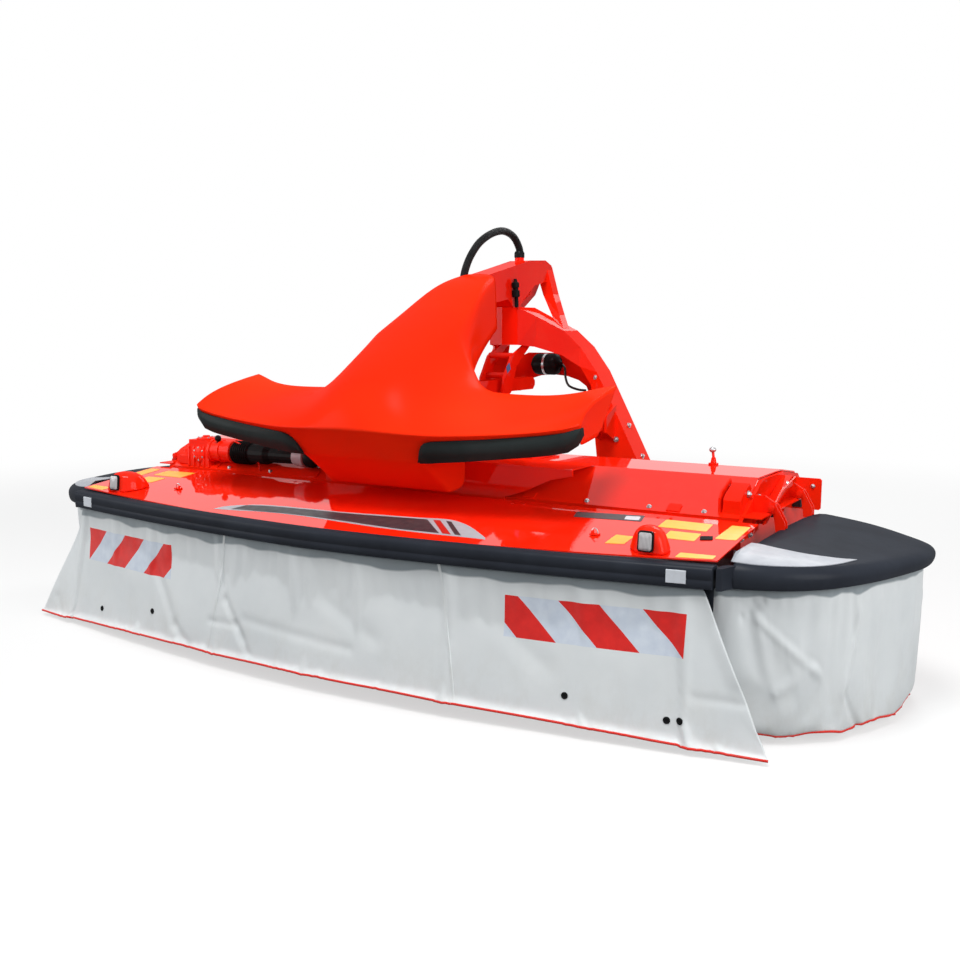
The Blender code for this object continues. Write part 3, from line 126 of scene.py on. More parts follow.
# x beyond the rim's end and y at a side curtain's top, the same at its hem
SIDE_RUN = ((-.04, .238, -.034, .254), (.02, .243, .028, .272), (.1, .284, .155, .34),
            (.196, .329, .231, .4), (.292, .417, .32, .47), (.345, .5, .365, .54), (.383, .569, .41, .64),
            (.449, .737, .462, .79), (.491, .885, .476, .96), (.486, 1.035, .46, 1.07),
            (.405, 1.122, .395, 1.15), (.245, 1.244, .24, 1.26))
SIDE_HEM_WAVE = 0.012
SIDE_HEM_PITCH = 26.0
FRONT_GRID = (250, 34)          # columns and rows of cloth
SIDE_GRID = (110, 26)
FRONT_GIVE = (0.010, 0.022)     # a curtain's slack, and the most that it moves as it hangs
SIDE_GIVE = (0.014, 0.018)
HEM_HOLD = 0.35                 # how firmly a hem keeps its place then
CLOTH_FRAMES = 16
CLOTH_SETTINGS = {"quality": 6, "mass": 0.5, "tension_stiffness": 40.0, "compression_stiffness": 12.0,
                  "shear_stiffness": 12.0, "bending_stiffness": 3.0}
EYELETS = ((-1.28, .105), (-.904, .157), (1.024, .137), (1.363, .102), (1.394, .105))
PANEL_WIDTH = 0.612
PANEL_HEIGHT = 0.141
PANEL_TOP = 0.447
PANEL_OUTER = 1.406
STRIPE_START = 0.1875

GUARD_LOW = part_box("side_guard_left")[0][2]
GUARD_ROOT = RIM_HALF + 0.018
GUARD_REACH = RIM_HALF + 0.521
GUARD_CENTRE = Vector((RIM_HALF + 0.12, 0.75, 0.0))
# x beyond the rim's end and y, round the guard's lower edge
GUARD_OUTLINE = ((.018, .235), (.101, .25), (.214, .303), (.317, .397), (.41, .555), (.478, .727),
                 (.521, .88), (.516, 1.045), (.43, 1.15), (.257, 1.275), (.018, 1.33))
# share of the way out from the centre, height over the lower edge, slope up inwards, inward step
GUARD_PROFILE = ((1.0, .001, 0.0, .004), (1.0, .007, 0.0, 0.0), (1.009, .02, .014, 0.0),
                 (1.008, .032, .03, 0.0), (.99, .043, .046, 0.0), (.955, .049, .068, 0.0),
                 (.9, .0525, .088, 0.0), (.72, .0535, .1, 0.0), (.5, .0545, .104, 0.0),
                 (.25, .056, .105, 0.0), (.05, .057, .105, 0.0), (0.0, .057, .105, 0.0))
GUARD_SKIN_ROWS = 5             # rows of the profile before the dome begins
GUARD_PIN_X = RIM_HALF + 0.0075
GUARD_PIN_Z = 0.702
GUARD_EARS = (0.80, 1.18)
EAR_GAP = 0.011
EAR_WIDTH = 0.008
EAR_SHAPE = ((-.013, -.012), (-.013, .008), (-.006, .013), (.01, .013), (.048, -.054), (.048, -.092),
             (.0165, -.092), (.005, -.02))
SHAFT_AXIS = (0.725, 0.752)     # y and z of the cross shaft
GEARBOX_X = -1.232
HOSE_RADIUS = 0.0175
HOSE_RUN = ((-.08, 1.222, 1.4603), (-.08, 1.222, 1.5), (-.08, 1.228, 1.555), (-.078, 1.245, 1.602),
            (-.07, 1.275, 1.657), (-.06, 1.335, 1.718), (-.05, 1.428, 1.764), (-.042, 1.525, 1.782),
            (-.034, 1.608, 1.76), (-.025, 1.65, 1.705), (-.025, 1.65, 1.6643))
SHELL_THICKNESS = 0.005
SHEET_THICKNESS = 0.003
EDGE_WIDTH = 0.0016
EDGE_WIDTHS = {"boom_arch": 0.010, "neck_beam": 0.006, "lower_arms": 0.004, "upper_link": 0.003}

CAMERA_PLACE = (2.535, -2.975, 1.350)
CAMERA_DIP = 8.31               # degrees below level
CAMERA_TURN = 31.03
CAMERA_LENS = 40.2
FLOOR_TONE = (0.83, 0.83, 0.825, 1.0)
FLOOR_BOUNCE = (0.22, 0.22, 0.22, 1.0)
FLOOR_GLOW = 0.6                # share of the floor's own light where the object stands
FLOOR_FADE = (2.6, 7.5)         # where that light begins to grow, and where it is whole
FLOOR_HALF = 60
SKY_TONE = (0.96, 0.98, 1.0, 1.0)
SKY_LIGHT = 0.32
LAMP_AIM = Vector((0, 0, 0.6))
# name, place, size, power
LAMPS = (("key", (0.9, -2.6, 6.1), 2.6, 285.0), ("side", (5.0, -1.5, 2.4), 3.0, 115.0),
         ("far_side", (-4.4, -3.2, 2.4), 3.5, 95.0), ("back", (0.5, 5.0, 4.5), 3.0, 120.0))


def at(x, y, z):
    return Vector((x, y + FRONT, z))


def rim_y(x):
    return RIM_SWEEP * (abs(x) / RIM_HALF) ** RIM_POWER


def deck_spot(x, y, lift=0.0):
    return at(x, y, DECK_FRONT_Z + DECK_SLOPE * y + lift)


def hood_spot(x, y, lift=0.0):
    return at(x, y, HOOD_FACE[1] + HOOD_FACE[2] * (y - HOOD_FACE[0])) + HOOD_NORMAL * lift


def set_all(target, **settings):
    for key, value in settings.items():
        setattr(target, key, value)
    return target


# ================ materials
def new_node(tree, kind, inputs=(), **settings):
    """A shader node; its inputs are linked to sockets or set to values."""
    made = set_all(tree.nodes.new(kind), **settings)
    for key, value in dict(inputs).items():
        if isinstance(value, bpy.types.NodeSocket):
            tree.links.new(value, made.inputs[key])
        else:
            made.inputs[key].default_value = value
    return made


class Recipe:
    """A Principled material that is put together one node at a time."""

    def __init__(self, name, roughness=0.5, metallic=0.0, coat=0.0, coat_roughness=0.08, specular=0.5):
        self.material = bpy.data.materials.new(name)
        self.material.use_nodes = True
        self.tree = self.material.node_tree
        self.shader = self.tree.nodes["Principled BSDF"]
        self.coordinates = self.tree.nodes.new("ShaderNodeTexCoord").outputs
        for key, value in (("Roughness", roughness), ("Metallic", metallic), ("Coat Weight", coat),
                           ("Coat Roughness", coat_roughness), ("Specular IOR Level", specular)):
            self.shader.inputs[key].default_value = value

    def node(self, kind, inputs=(), **settings):
        return new_node(self.tree, kind, inputs, **settings)

    def noise(self, scale, detail=3.0, roughness=0.5, stretch=(1, 1, 1), source="Object"):
        spot = self.node("ShaderNodeMapping", {"Vector": self.coordinates[source], "Scale": stretch})
        inputs = {"Vector": spot.outputs[0], "Scale": scale, "Detail": detail, "Roughness": roughness}
        return self.node("ShaderNodeTexNoise", inputs).outputs["Fac"]

    def span(self, value, low, high, start=0.0, end=1.0):
        """The value's run from low to high, stretched to start ... end and clamped."""
        inputs = {"Value": value, "From Min": low, "From Max": high, "To Min": start, "To Max": end}
        return self.node("ShaderNodeMapRange", inputs).outputs["Result"]

    def maths(self, operation, first, second=0.0):
        return self.node("ShaderNodeMath", {0: first, 1: second}, operation=operation).outputs[0]

    def mix(self, share, first, second):
        return self.node("ShaderNodeMix", {0: share, 6: first, 7: second}, data_type="RGBA").outputs[2]

    def drift(self, value, low, high, first, second):
        """A tone that goes from first to second as the value goes from low to high."""
        return self.mix(self.span(value, low, high), first, second)

    def colour(self, value):
        self.tree.links.new(value, self.shader.inputs["Base Color"])

    def roughen(self, scale, detail, low, high):
        """A gloss that drifts between two roughnesses."""
        value = self.span(self.noise(scale, detail), 0.3, 0.7, low, high)
        self.tree.links.new(value, self.shader.inputs["Roughness"])

    def bump(self, height, strength, distance):
        made = self.node("ShaderNodeBump", {"Height": height, "Strength": strength, "Distance": distance})
        before = self.shader.inputs["Normal"]
        if before.links:
            self.tree.links.new(before.links[0].from_socket, made.inputs["Normal"])
        self.tree.links.new(made.outputs[0], before)

    def xyz(self, source="Object"):
        return self.node("ShaderNodeSeparateXYZ", {0: self.coordinates[source]}).outputs

    def wave(self, value, pitch):
        return self.maths("SINE", self.maths("MULTIPLY", value, pitch))


def shade(red, green, blue):
    """An sRGB colour, 0 to 255, as the linear colour that sockets take."""
    return tuple((c / 255 / 12.92) if c <= 10 else ((c / 255 + 0.055) / 1.055) ** 2.4
                 for c in (red, green, blue)) + (1.0,)


def make_paint(name="gloss_red", coat=0.22):
    """Glossy red paint over pressed steel: faint orange peel, drift in tone and a little dust."""
    recipe = Recipe(name, coat=coat, coat_roughness=0.035, specular=0.0)
    body = recipe.drift(recipe.noise(1.3, 2.0), 0.35, 0.65, shade(234, 26, 8), shade(246, 38, 12))
    dust = recipe.span(recipe.noise(9.0, 5.0, 0.6), 0.50, 0.80, 0.0, 0.06)
    recipe.colour(recipe.mix(dust, body, shade(196, 104, 84)))
    recipe.roughen(6.0, 4.0, 0.26, 0.38)
    recipe.bump(recipe.noise(420.0, 1.0), 0.02, 0.0004)
    recipe.bump(recipe.noise(4.0, 0.0), 0.012, 0.003)
    return recipe.material


def make_cover_red():
    """Red moulded plastic with a satin gloss and very fine grain."""
    recipe = Recipe("cover_red", coat=0.06, coat_roughness=0.2, specular=0.0)
    recipe.colour(recipe.drift(recipe.noise(1.1, 2.0), 0.35, 0.65, shade(240, 40, 12), shade(250, 54, 18)))
    recipe.roughen(9.0, 4.0, 0.34, 0.44)
    recipe.bump(recipe.noise(900.0, 2.0), 0.05, 0.0005)
    recipe.bump(recipe.noise(3.5, 1.0), 0.05, 0.006)
    return recipe.material


def make_moulded(name, dark, light, roughness, grain=700.0):
    """Dark moulded plastic: grain, faint flow marks and scuffs."""
    recipe = Recipe(name, coat=0.10, coat_roughness=0.28, specular=0.0)
    patchy = recipe.drift(recipe.noise(5.0, 5.0, 0.6), 0.35, 0.75, dark, light)
    scuff = recipe.span(recipe.noise(55.0, 8.0, 0.7, (0.25, 1, 1)), 0.70, 0.84, 0.0, 0.16)
    recipe.colour(recipe.mix(scuff, patchy, shade(92, 96, 104)))
    recipe.roughen(18.0, 4.0, roughness - 0.06, roughness + 0.08)
    recipe.bump(recipe.noise(grain, 2.0), 0.10, 0.0006)
    return recipe.material


def make_metal(name, dark, light, roughness, grain):
    """Bare metal with brushed streaks, stains and small pits."""
    recipe = Recipe(name, metallic=0.92)
    streaks = recipe.noise(grain, 4.0, 0.6, (0.06, 1, 1))
    body = recipe.drift(streaks, 0.3, 0.7, dark, light)
    stain = recipe.span(recipe.noise(11.0, 7.0, 0.65), 0.58, 0.74, 0.0, 0.5)
    recipe.colour(recipe.mix(stain, body, shade(92, 74, 60)))
    recipe.roughen(24.0, 5.0, roughness - 0.08, roughness + 0.12)
    recipe.bump(streaks, 0.12, 0.0006)
    return recipe.material


def make_rubber():
    recipe = Recipe("rubber")
    recipe.colour(recipe.drift(recipe.noise(30.0, 5.0), 0.35, 0.7, shade(14, 14, 15), shade(30, 30, 32)))
    recipe.roughen(60.0, 4.0, 0.42, 0.62)
    recipe.bump(recipe.noise(500.0, 2.0), 0.2, 0.0008)
    return recipe.material


def make_braid():
    """Textile-covered hose: crossed threads wound round it, as two slanted waves."""
    recipe = Recipe("hose_braid", specular=0.1)
    across, along, _ = recipe.xyz("UV")
    threads = recipe.maths("MULTIPLY", along, 520.0)
    waves = [recipe.maths("SINE", recipe.maths("ADD", recipe.maths("MULTIPLY", across, turn), threads))
             for turn in (24.0, -24.0)]
    weave = recipe.maths("MAXIMUM", *waves)
    recipe.colour(recipe.drift(weave, 0.2, 1.0, shade(6, 6, 7), shade(27, 28, 29)))
    recipe.bump(weave, 0.5, 0.0008)
    return recipe.material


def make_sticker(name, tone, roughness=0.35):
    """Printed film: a tone that drifts a little, faint dirt and a soft gloss."""
    recipe = Recipe(name, coat=0.04, coat_roughness=0.2, specular=0.2)
    dirt = recipe.span(recipe.noise(40.0, 6.0, 0.65), 0.52, 0.75, 0.0, 0.16)
    soft = recipe.mix(recipe.span(recipe.noise(6.0), 0.3, 0.7, 0.0, 0.10), tone, shade(120, 118, 112))
    recipe.colour(recipe.mix(dirt, soft, shade(90, 84, 76)))
    recipe.roughen(30.0, 3.0, roughness - 0.05, roughness + 0.1)
    recipe.bump(recipe.noise(300.0, 1.0), 0.04, 0.0004)
    return recipe.material


def make_lens():
    """Clear moulded lamp lens with fine prisms over a bright reflector."""
    recipe = Recipe("lamp_lens", roughness=0.10, coat=1.0, coat_roughness=0.03)
    ribs = recipe.wave(recipe.xyz()[0], 1400.0)
    recipe.colour(recipe.drift(ribs, -1.0, 1.0, shade(140, 138, 140), shade(198, 194, 196)))
    recipe.bump(ribs, 0.35, 0.0012)
    return recipe.material


def canvas_recipe(name):
    """PVC-coated cloth: plain weave, drifting tone, splash dirt that thickens towards the hem, and a painted
    shadow of the rim along its top.
    """
    recipe = Recipe(name)
    recipe.shader.inputs["Sheen Weight"].default_value = 0.05
    across, up, _ = recipe.xyz("UV")
    tone = recipe.drift(recipe.noise(2.4, 5.0, 0.55), 0.32, 0.68, shade(210, 215, 217), shade(222, 226, 227))
    splash = recipe.noise(9.0, 8.0, 0.68, (1, 1, 0.55))
    low = recipe.span(up, 0.30, 0.02)
    dirt = recipe.maths("MULTIPLY", recipe.span(splash, 0.46, 0.74, 0.0, 0.34), low)
    tone = recipe.mix(dirt, tone, shade(176, 172, 160))
    # painted shadow: the top 22 to 46 mm of the cloth, with a wavy lower edge, is darkened where the rim's
    # shadow falls
    depth = recipe.span(recipe.noise(4.5, 1.0, 0.4, (1, 0, 0), "UV"), 0.30, 0.70, 0.022, 0.046)
    under_rim_shadow = recipe.maths("SUBTRACT", up, recipe.maths("SUBTRACT", CURTAIN_HIGH.z, depth))
    tone = recipe.drift(under_rim_shadow, -0.004, 0.003, tone, shade(138, 147, 152))
    weave = recipe.maths("MULTIPLY", recipe.wave(across, 1900.0), recipe.wave(up, 1900.0))
    recipe.bump(weave, 0.10, 0.0006)
    recipe.bump(recipe.noise(26.0, 4.0, 0.5), 0.10, 0.004)
    recipe.roughen(12.0, 3.0, 0.52, 0.70)
    return recipe, tone


def make_canvas():
    recipe, tone = canvas_recipe("canvas")
    recipe.colour(tone)
    return recipe.material


def make_striped_canvas():
    """The front curtain's canvas with a striped reflective panel near each end."""
    recipe, tone = canvas_recipe("canvas_striped")
    across, up, _ = recipe.xyz("UV")
    from_inner = recipe.maths("SUBTRACT", recipe.maths("ABSOLUTE", across), PANEL_OUTER - PANEL_WIDTH)
    from_top = recipe.maths("SUBTRACT", PANEL_TOP, up)
    inside = recipe.maths("GREATER_THAN", from_inner, 0.0)
    for operation, value, limit in (("LESS_THAN", from_inner, PANEL_WIDTH), ("GREATER_THAN", from_top, 0.0),
                                    ("LESS_THAN", from_top, PANEL_HEIGHT)):
        inside = recipe.maths("MULTIPLY", inside, recipe.maths(operation, value, limit))
    slant = recipe.maths("SUBTRACT", recipe.maths("SUBTRACT", from_inner, from_top), STRIPE_START)
    # four whole stripes more keep the share positive
    phase = recipe.maths("FRACT", recipe.maths("ADD", recipe.maths("DIVIDE", slant, 2 * PANEL_HEIGHT), 4.0))
    band = recipe.maths("LESS_THAN", phase, 0.5)
    grain = recipe.noise(30.0, 4.0)
    film = recipe.drift(grain, 0.3, 0.7, shade(196, 206, 220), shade(208, 217, 228))
    red = recipe.drift(grain, 0.3, 0.7, shade(204, 14, 6), shade(220, 20, 10))
    recipe.colour(recipe.mix(inside, tone, recipe.mix(band, film, red)))
    return recipe.material


PAINT = make_paint()
DECK_PAINT = make_paint("gloss_red_deck", 0.75)
COVER_RED = make_cover_red()
BLACK = make_moulded("black_plastic", shade(38, 41, 48), shade(46, 50, 58), 0.42)
TRIM = make_moulded("dark_trim", shade(36, 42, 42), shade(46, 52, 52), 0.50)
STEEL = make_metal("bare_steel", shade(120, 122, 126), shade(172, 173, 175), 0.42, 60.0)
ZINC = make_metal("zinc_bolts", shade(150, 152, 156), shade(205, 206, 208), 0.30, 40.0)
CAST = make_moulded("cast_black", shade(18, 19, 20), shade(34, 35, 36), 0.55, 260.0)
RUBBER = make_rubber()
BRAID = make_braid()
CANVAS = make_canvas()
STRIPED = make_striped_canvas()
HEM_RED = make_sticker("hem_red", shade(214, 40, 28), 0.5)
YELLOW = make_sticker("label_yellow", shade(243, 181, 44))
WHITE = make_sticker("label_white", shade(204, 209, 216))
GUARD_FILM = make_sticker("guard_film", shade(148, 152, 160))
SILVER = make_sticker("label_silver", shade(168, 172, 178))
DARK_FILM = make_sticker("label_dark", shade(40, 44, 50))
BLUE = make_sticker("label_blue", shade(62, 96, 150))
RED_FILM = make_sticker("label_red", shade(190, 26, 14))
LENS = make_lens()
FINISHES = {"gloss_red": PAINT, "cover_red": COVER_RED, "bare_steel": STEEL, "black_plastic": BLACK,
            "dark_trim": TRIM, "canvas": CANVAS, "rubber": RUBBER}
OWN_FINISH = {"front_hood": DECK_PAINT, "conditioner_hood": DECK_PAINT, "cross_shaft": CAST}


# ================ mesh tools
def add_object(name, data):
    made = bpy.data.objects.new(name, data)
    bpy.context.scene.collection.objects.link(made)
    return made


def mount(piece, body, slot):
    """Puts a piece on its body; the slot argument is not used."""
    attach(piece, body)
    return piece


def link(name, mesh, material, body, slot=None, angle=35.0):
    piece = add_object(name, mesh)
    mesh.materials.append(material)
    mesh.shade_smooth()
    mesh.set_sharp_from_angle(angle=math.radians(angle))
    return mount(piece, body, slot)


def make_mesh(name, points, faces, merged=False):
    mesh = bpy.data.meshes.new(name)
    mesh.from_pydata([tuple(point) for point in points], [], [tuple(face) for face in faces])
    work = bmesh.new()
    work.from_mesh(mesh)
    bmesh.ops.recalc_face_normals(work, faces=work.faces)
    if merged:
        bmesh.ops.remove_doubles(work, verts=work.verts, dist=1e-5)
    work.to_mesh(mesh)
    work.free()
    return mesh


def tube(name, route, radius, material, body, slot, resolution):
    """A round bar or hose along a route."""
    curve = set_all(bpy.data.curves.new(name, "CURVE"), dimensions="3D", bevel_depth=radius,
                    bevel_resolution=resolution, use_fill_caps=True)
    line = curve.splines.new("POLY")
    line.points.add(len(route) - 1)
    for point, place in zip(line.points, route):
        point.co = (*place, 1.0)
    curve.materials.append(material)
    return mount(add_object(name, curve), body, slot)


def smooth_route(points, steps):
    """Catmull-Rom curve through the points, which hold two or three values each."""
    points = [Vector(point) for point in points]
    ends = [2 * points[0] - points[1]] + points + [2 * points[-1] - points[-2]]
    route = []
    for a, b, c, d in zip(ends, ends[1:], ends[2:], ends[3:]):
        for i in range(steps):
            t = i / steps
            route.append(0.5 * ((2 * b) + (c - a) * t + (2 * a - 5 * b + 4 * c - d) * t * t
                                + (3 * b - a - 3 * c + d) * t ** 3))
    return route + [points[-1]]


def circle(count, start=0.0):
    """Angles once round, evenly spaced."""
    return [2 * math.pi * (i + start) / count for i in range(count)]


def along_table(table, x):
    """Straight-line values of a table's other columns at x."""
    for first, second in zip(table, table[1:]):
        if x <= second[0]:
            share = max(0.0, (x - first[0]) / (second[0] - first[0]))
            return [a + (b - a) * share for a, b in zip(first[1:], second[1:])]
    return list(table[-1][1:])


def add_bevel(piece, width):
    set_all(piece.modifiers.new("edges", "BEVEL"), width=width, segments=2, limit_method="ANGLE",
            angle_limit=math.radians(30.0), harden_normals=False)


def add_skin(piece, levels, thickness=None, offset=-1.0):
    """Smooths a shell and, where asked, gives it thickness; offset -1 puts that inside."""
    set_all(piece.modifiers.new("smooth", "SUBSURF"), levels=levels, render_levels=levels)
    if thickness:
        set_all(piece.modifiers.new("thickness", "SOLIDIFY"), thickness=thickness, offset=offset)


def basis(normal, up=(0, 0, 1)):
    """Two directions square to a normal: across and along."""
    normal = Vector(normal).normalized()
    across = Vector(up).cross(normal)
    if across.length < 1e-4:
        across = Vector((1, 0, 0))
    across.normalize()
    return across, normal.cross(across).normalized(), normal


class Batch:
    """Many small shapes gathered into one mesh."""

    def __init__(self):
        self.points, self.faces = [], []

    def loops(self, loops, capped=True):
        """A skin over closed loops of equal length."""
        count, first = len(loops[0]), len(self.points)
        for loop in loops:
            self.points.extend(loop)
        last = len(self.points) - count
        for k in range(first, last, count):
            for i in range(count):
                j = (i + 1) % count
                self.faces.append((k + i, k + j, k + count + j, k + count + i))
        if capped:
            self.faces.append(tuple(range(first, first + count)))
            self.faces.append(tuple(range(last + count - 1, last - 1, -1)))
        return self

    def lathe(self, place, normal, profile, sides=16):
        """A turned shape: profile rows are (height along the normal, radius)."""
        across, along, normal = basis(normal)
        place = Vector(place)
        turn = [across * math.cos(angle) + along * math.sin(angle) for angle in circle(sides)]
        return self.loops([[place + normal * height + way * radius for way in turn]
                           for height, radius in profile])

    def bolt(self, place, normal, size=0.008):
        """Washer, six-sided head and the end of the thread."""
        for sides, profile in ((16, ((0.0, 1.35), (.18, 1.35))),
                               (6, ((.18, 1.0), (.85, 1.0), (.95, .86))),
                               (10, ((.9, .5), (1.25, .5), (1.35, .4)))):
            self.lathe(place, normal, [(height * size, radius * size) for height, radius in profile], sides)

    def box(self, centre, size, bevel=0.15):
        """A block with its corners cut."""
        half = Vector(size) / 2
        cut = bevel * min(half)
        loops = []
        for z, share in ((-half.z, cut), (cut - half.z, 0), (half.z - cut, 0), (half.z, cut)):
            x, y = half.x - share, half.y - share
            ring = ((x - cut, -y), (x, cut - y), (x, y - cut), (x - cut, y),
                    (cut - x, y), (-x, y - cut), (-x, cut - y), (cut - x, -y))
            loops.append([Vector(centre) + Vector((a, b, z)) for a, b in ring])
        self.loops(loops)

    def plate(self, outline, plane, low, high):
        """Flat plate; outline holds (across, up) pairs, plane names the axis that low and high lie on."""
        order = {"x": (2, 0, 1), "y": (0, 2, 1), "z": (0, 1, 2)}[plane]
        self.loops([[at(*((a, b, c)[k] for k in order)) for a, b in outline] for c in (low, high)])

    def finish(self, name, material, body, slot=None, angle=35.0, merged=False):
        return link(name, make_mesh(name, self.points, self.faces, merged), material, body, slot, angle)


# ================ camera and hose
def make_camera():
    camera = add_object("camera", bpy.data.cameras.new("camera"))
    camera.location = at(*CAMERA_PLACE)
    camera.rotation_euler = (math.radians(90 - CAMERA_DIP), 0.0, math.radians(CAMERA_TURN))
    set_all(camera.data, sensor_width=36.0, lens=CAMERA_LENS, clip_end=100.0)
    bpy.context.scene.camera = camera


def make_hose():
    """The braided hose's route, repeated from the model, with a smoother run."""
    route = smooth_route([at(*point) for point in HOSE_RUN], 4)
    hose = tube("hose_braided", route, HOSE_RADIUS, BRAID, "carrying_frame", "rubber", 5)
    length = sum((b - a).length for a, b in zip(route, route[1:]))
    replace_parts(hose, "hose")
    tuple(route[0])
    collars = Batch()
    for place in (HOSE_RUN[0], HOSE_RUN[-1]):
        collars.lathe(at(*place), (0, 0, 1), ((.0006, .0245), (.022, .0245), (.025, .0225),
                                              (.03, .0205)), 24)
    collars.finish("hose_collars", CAST, "carrying_frame", "rubber")


# ================ moulded top cover
# x, y and z over the shell's left half, row by row from the chin's lower edge to the neck's end
COVER_ROWS = (
    ((0, .5, .7), (.15, .504, .699), (.29, .52, .694), (.305, .62, .704)),
    ((0, .412, .765), (.15, .415, .765), (.29, .435, .763), (.31, .605, .77)),
    ((0, .328, .83), (.15, .33, .83), (.29, .338, .83), (.325, .585, .85)),
    ((0, .262, .92), (.16, .266, .918), (.335, .292, .912), (.52, .322, .925), (.72, .345, .948),
     (.875, .362, .97), (.92, .385, .986), (.906, .425, .93)),
    ((0, .24, .952), (.16, .245, .948), (.345, .262, .94), (.52, .288, .949), (.72, .326, .963),
     (.875, .352, .985), (.924, .38, 1.003), (.905, .43, .926)),
    ((0, .262, 1.03), (.16, .285, 1.02), (.33, .335, .988), (.52, .368, .982), (.72, .395, .99),
     (.865, .415, 1.025), (.912, .436, 1.045), (.903, .465, .928)),
    ((0, .345, 1.145), (.15, .365, 1.125), (.28, .44, 1.045), (.52, .49, 1.014), (.72, .505, 1.022),
     (.85, .53, 1.062), (.905, .535, 1.08), (.9, .515, .934)),
    ((0, .49, 1.232), (.13, .498, 1.222), (.21, .52, 1.18), (.36, .6, 1.045), (.7, .59, 1.048),
     (.84, .645, 1.094), (.901, .655, 1.106), (.898, .56, .94)),
    ((0, .69, 1.345), (.13, .695, 1.335), (.205, .71, 1.3), (.33, .73, 1.078), (.68, .665, 1.07),
     (.83, .725, 1.108), (.898, .745, 1.122), (.896, .6, .946)),
    ((0, .88, 1.44), (.12, .884, 1.43), (.185, .885, 1.395), (.175, .85, 1.105)),
    ((0, 1.05, 1.54), (.105, 1.052, 1.532), (.145, 1.05, 1.5), (.145, 1.02, 1.235)),
    ((0, 1.2, 1.572), (.085, 1.2, 1.565), (.105, 1.2, 1.545), (.115, 1.195, 1.325)),
)
ROW_CREASES = {0: 0.9, 2: 0.75, 3: 0.75, 4: 0.8, 8: 0.8, 11: 0.8}
# column, first and last row, how sharp: the chin's sides, the neck's edges, foot and the wings' rims
COLUMN_CREASES = ((2, 0, 3, .8), (2, 8, 11, .3), (3, 8, 11, .8), (6, 4, 11, .75))


def crease_of(start, end):
    """How sharp the shell's edge between two places is; each is a row and a column."""
    if start[0] == end[0]:
        return ROW_CREASES.get(start[0], 0.0)
    for column, first, last, sharpness in COLUMN_CREASES:
        if abs(start[1]) == column and first <= min(start[0], end[0]) and max(start[0], end[0]) <= last:
            return sharpness
    return 0.0


def make_top_cover():
    """One moulded shell: chin, bow with two wings, and the humped neck behind them."""
    points, place = [], {}
    for r, row in enumerate(COVER_ROWS):
        for c, (x, y, z) in enumerate(row):
            for side in ((1, -1) if x else (1,)):
                place[r, side * c] = len(points)
                points.append(at(side * x, y, z))
    faces = []
    for r, (row, after) in enumerate(zip(COVER_ROWS, COVER_ROWS[1:])):
        reach = min(len(row), len(after)) - 1
        for c in range(-reach, reach):
            faces.append((place[r, c], place[r, c + 1], place[r + 1, c + 1], place[r + 1, c]))
    mesh = make_mesh("cover_shell", points, faces)
    cover = link("cover_shell", mesh, COVER_RED, "carrying_frame", "cover_red", 180)
    creases = mesh.attributes.new("crease_edge", "FLOAT", "EDGE")
    found = {index: spot for spot, index in place.items()}
    for edge in mesh.edges:
        creases.data[edge.index].value = crease_of(*(found[index] for index in edge.vertices))
    add_skin(cover, 3, SHELL_THICKNESS)
    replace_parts(cover, "top_cover")


def make_trim(word, side):
    """Dark bumper under a wing's leading edge, deepest at its rounded inner end."""
    # x, y, z
    low_line = ((.284, .326, .829), (.33, .312, .833), (.48, .322, .848), (.65, .338, .868),
                (.8, .355, .886), (.87, .372, .9), (.905, .384, .925), (.92, .397, .962))
    top_line = ((.284, .325, .833), (.289, .318, .858), (.297, .305, .88), (.312, .293, .899),
                (.332, .283, .912), (.36, .284, .919), (.57, .318, .936), (.69, .334, .948),
                (.81, .35, .961), (.87, .36, .972), (.905, .376, .985), (.92, .39, .99))
    stations = (0.284, 0.286, 0.289, 0.293, 0.297, 0.304, 0.312, 0.322, 0.332, 0.345, 0.36, 0.40, 0.44, 0.48,
                0.53, 0.57, 0.61, 0.65, 0.69, 0.73, 0.77, 0.81, 0.84, 0.87, 0.885, 0.905, 0.913, 0.920)
    lip, bulge = 0.004, 0.012
    loops = []
    for x in stations:
        (y_low, z_low), (y_top, z_top) = along_table(low_line, x), along_table(top_line, x)
        depth = 0.010 if x < 0.33 else 0.022
        ring = [(y_low + depth, z_low), (y_low + lip, z_low), (y_low, z_low + lip)]
        for share in (0.25, 0.5, 0.75):
            ring.append((y_low + (y_top - y_low) * share - bulge * math.sin(math.pi * share),
                         z_low + lip + (z_top - z_low - lip) * share))
        ring += [(y_top, z_top), (y_top + depth, z_top)]
        loops.append([at(side * x, y, z) for y, z in ring])
    trim = Batch().loops(loops).finish(f"wing_trim_{word}", TRIM, "carrying_frame", "dark_trim", 40)
    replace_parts(trim, f"cover_trim_{word}")


def make_rim():
    """Moulded bumper with rolled edges and a shallow groove along its face."""
    count = 72
    stations = [i / count * RIM_HALF for i in range(-count, count + 1)]
    loops = [[at(x, rim_y(x) + y, z) for y, z in RIM_SECTION] for x in stations]
    rim = Batch().loops(loops).finish("rim_moulding", BLACK, "front_guard", "black_plastic", 40)
    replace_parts(rim, "front_rim")


# ================ curtains
def cloth_grid(name, grid, place, mark):
    """Open sheet whose UVs hold real distances: mark gives (across, height) of each point."""
    columns, rows = grid
    wide = columns + 1
    points = [place(i / columns, j / rows) for j in range(rows + 1) for i in range(wide)]
    corners = [j * wide + i for j in range(rows) for i in range(columns)]
    mesh = bpy.data.meshes.new(name)
    mesh.from_pydata([tuple(point) for point in points], [],
                     [(corner, corner + 1, corner + wide + 1, corner + wide) for corner in corners])
    layer = mesh.uv_layers.new(name="cloth")
    for loop in mesh.loops:
        j, i = divmod(loop.vertex_index, wide)
        layer.data[loop.index].uv = mark(i / columns, j / rows)
    return mesh


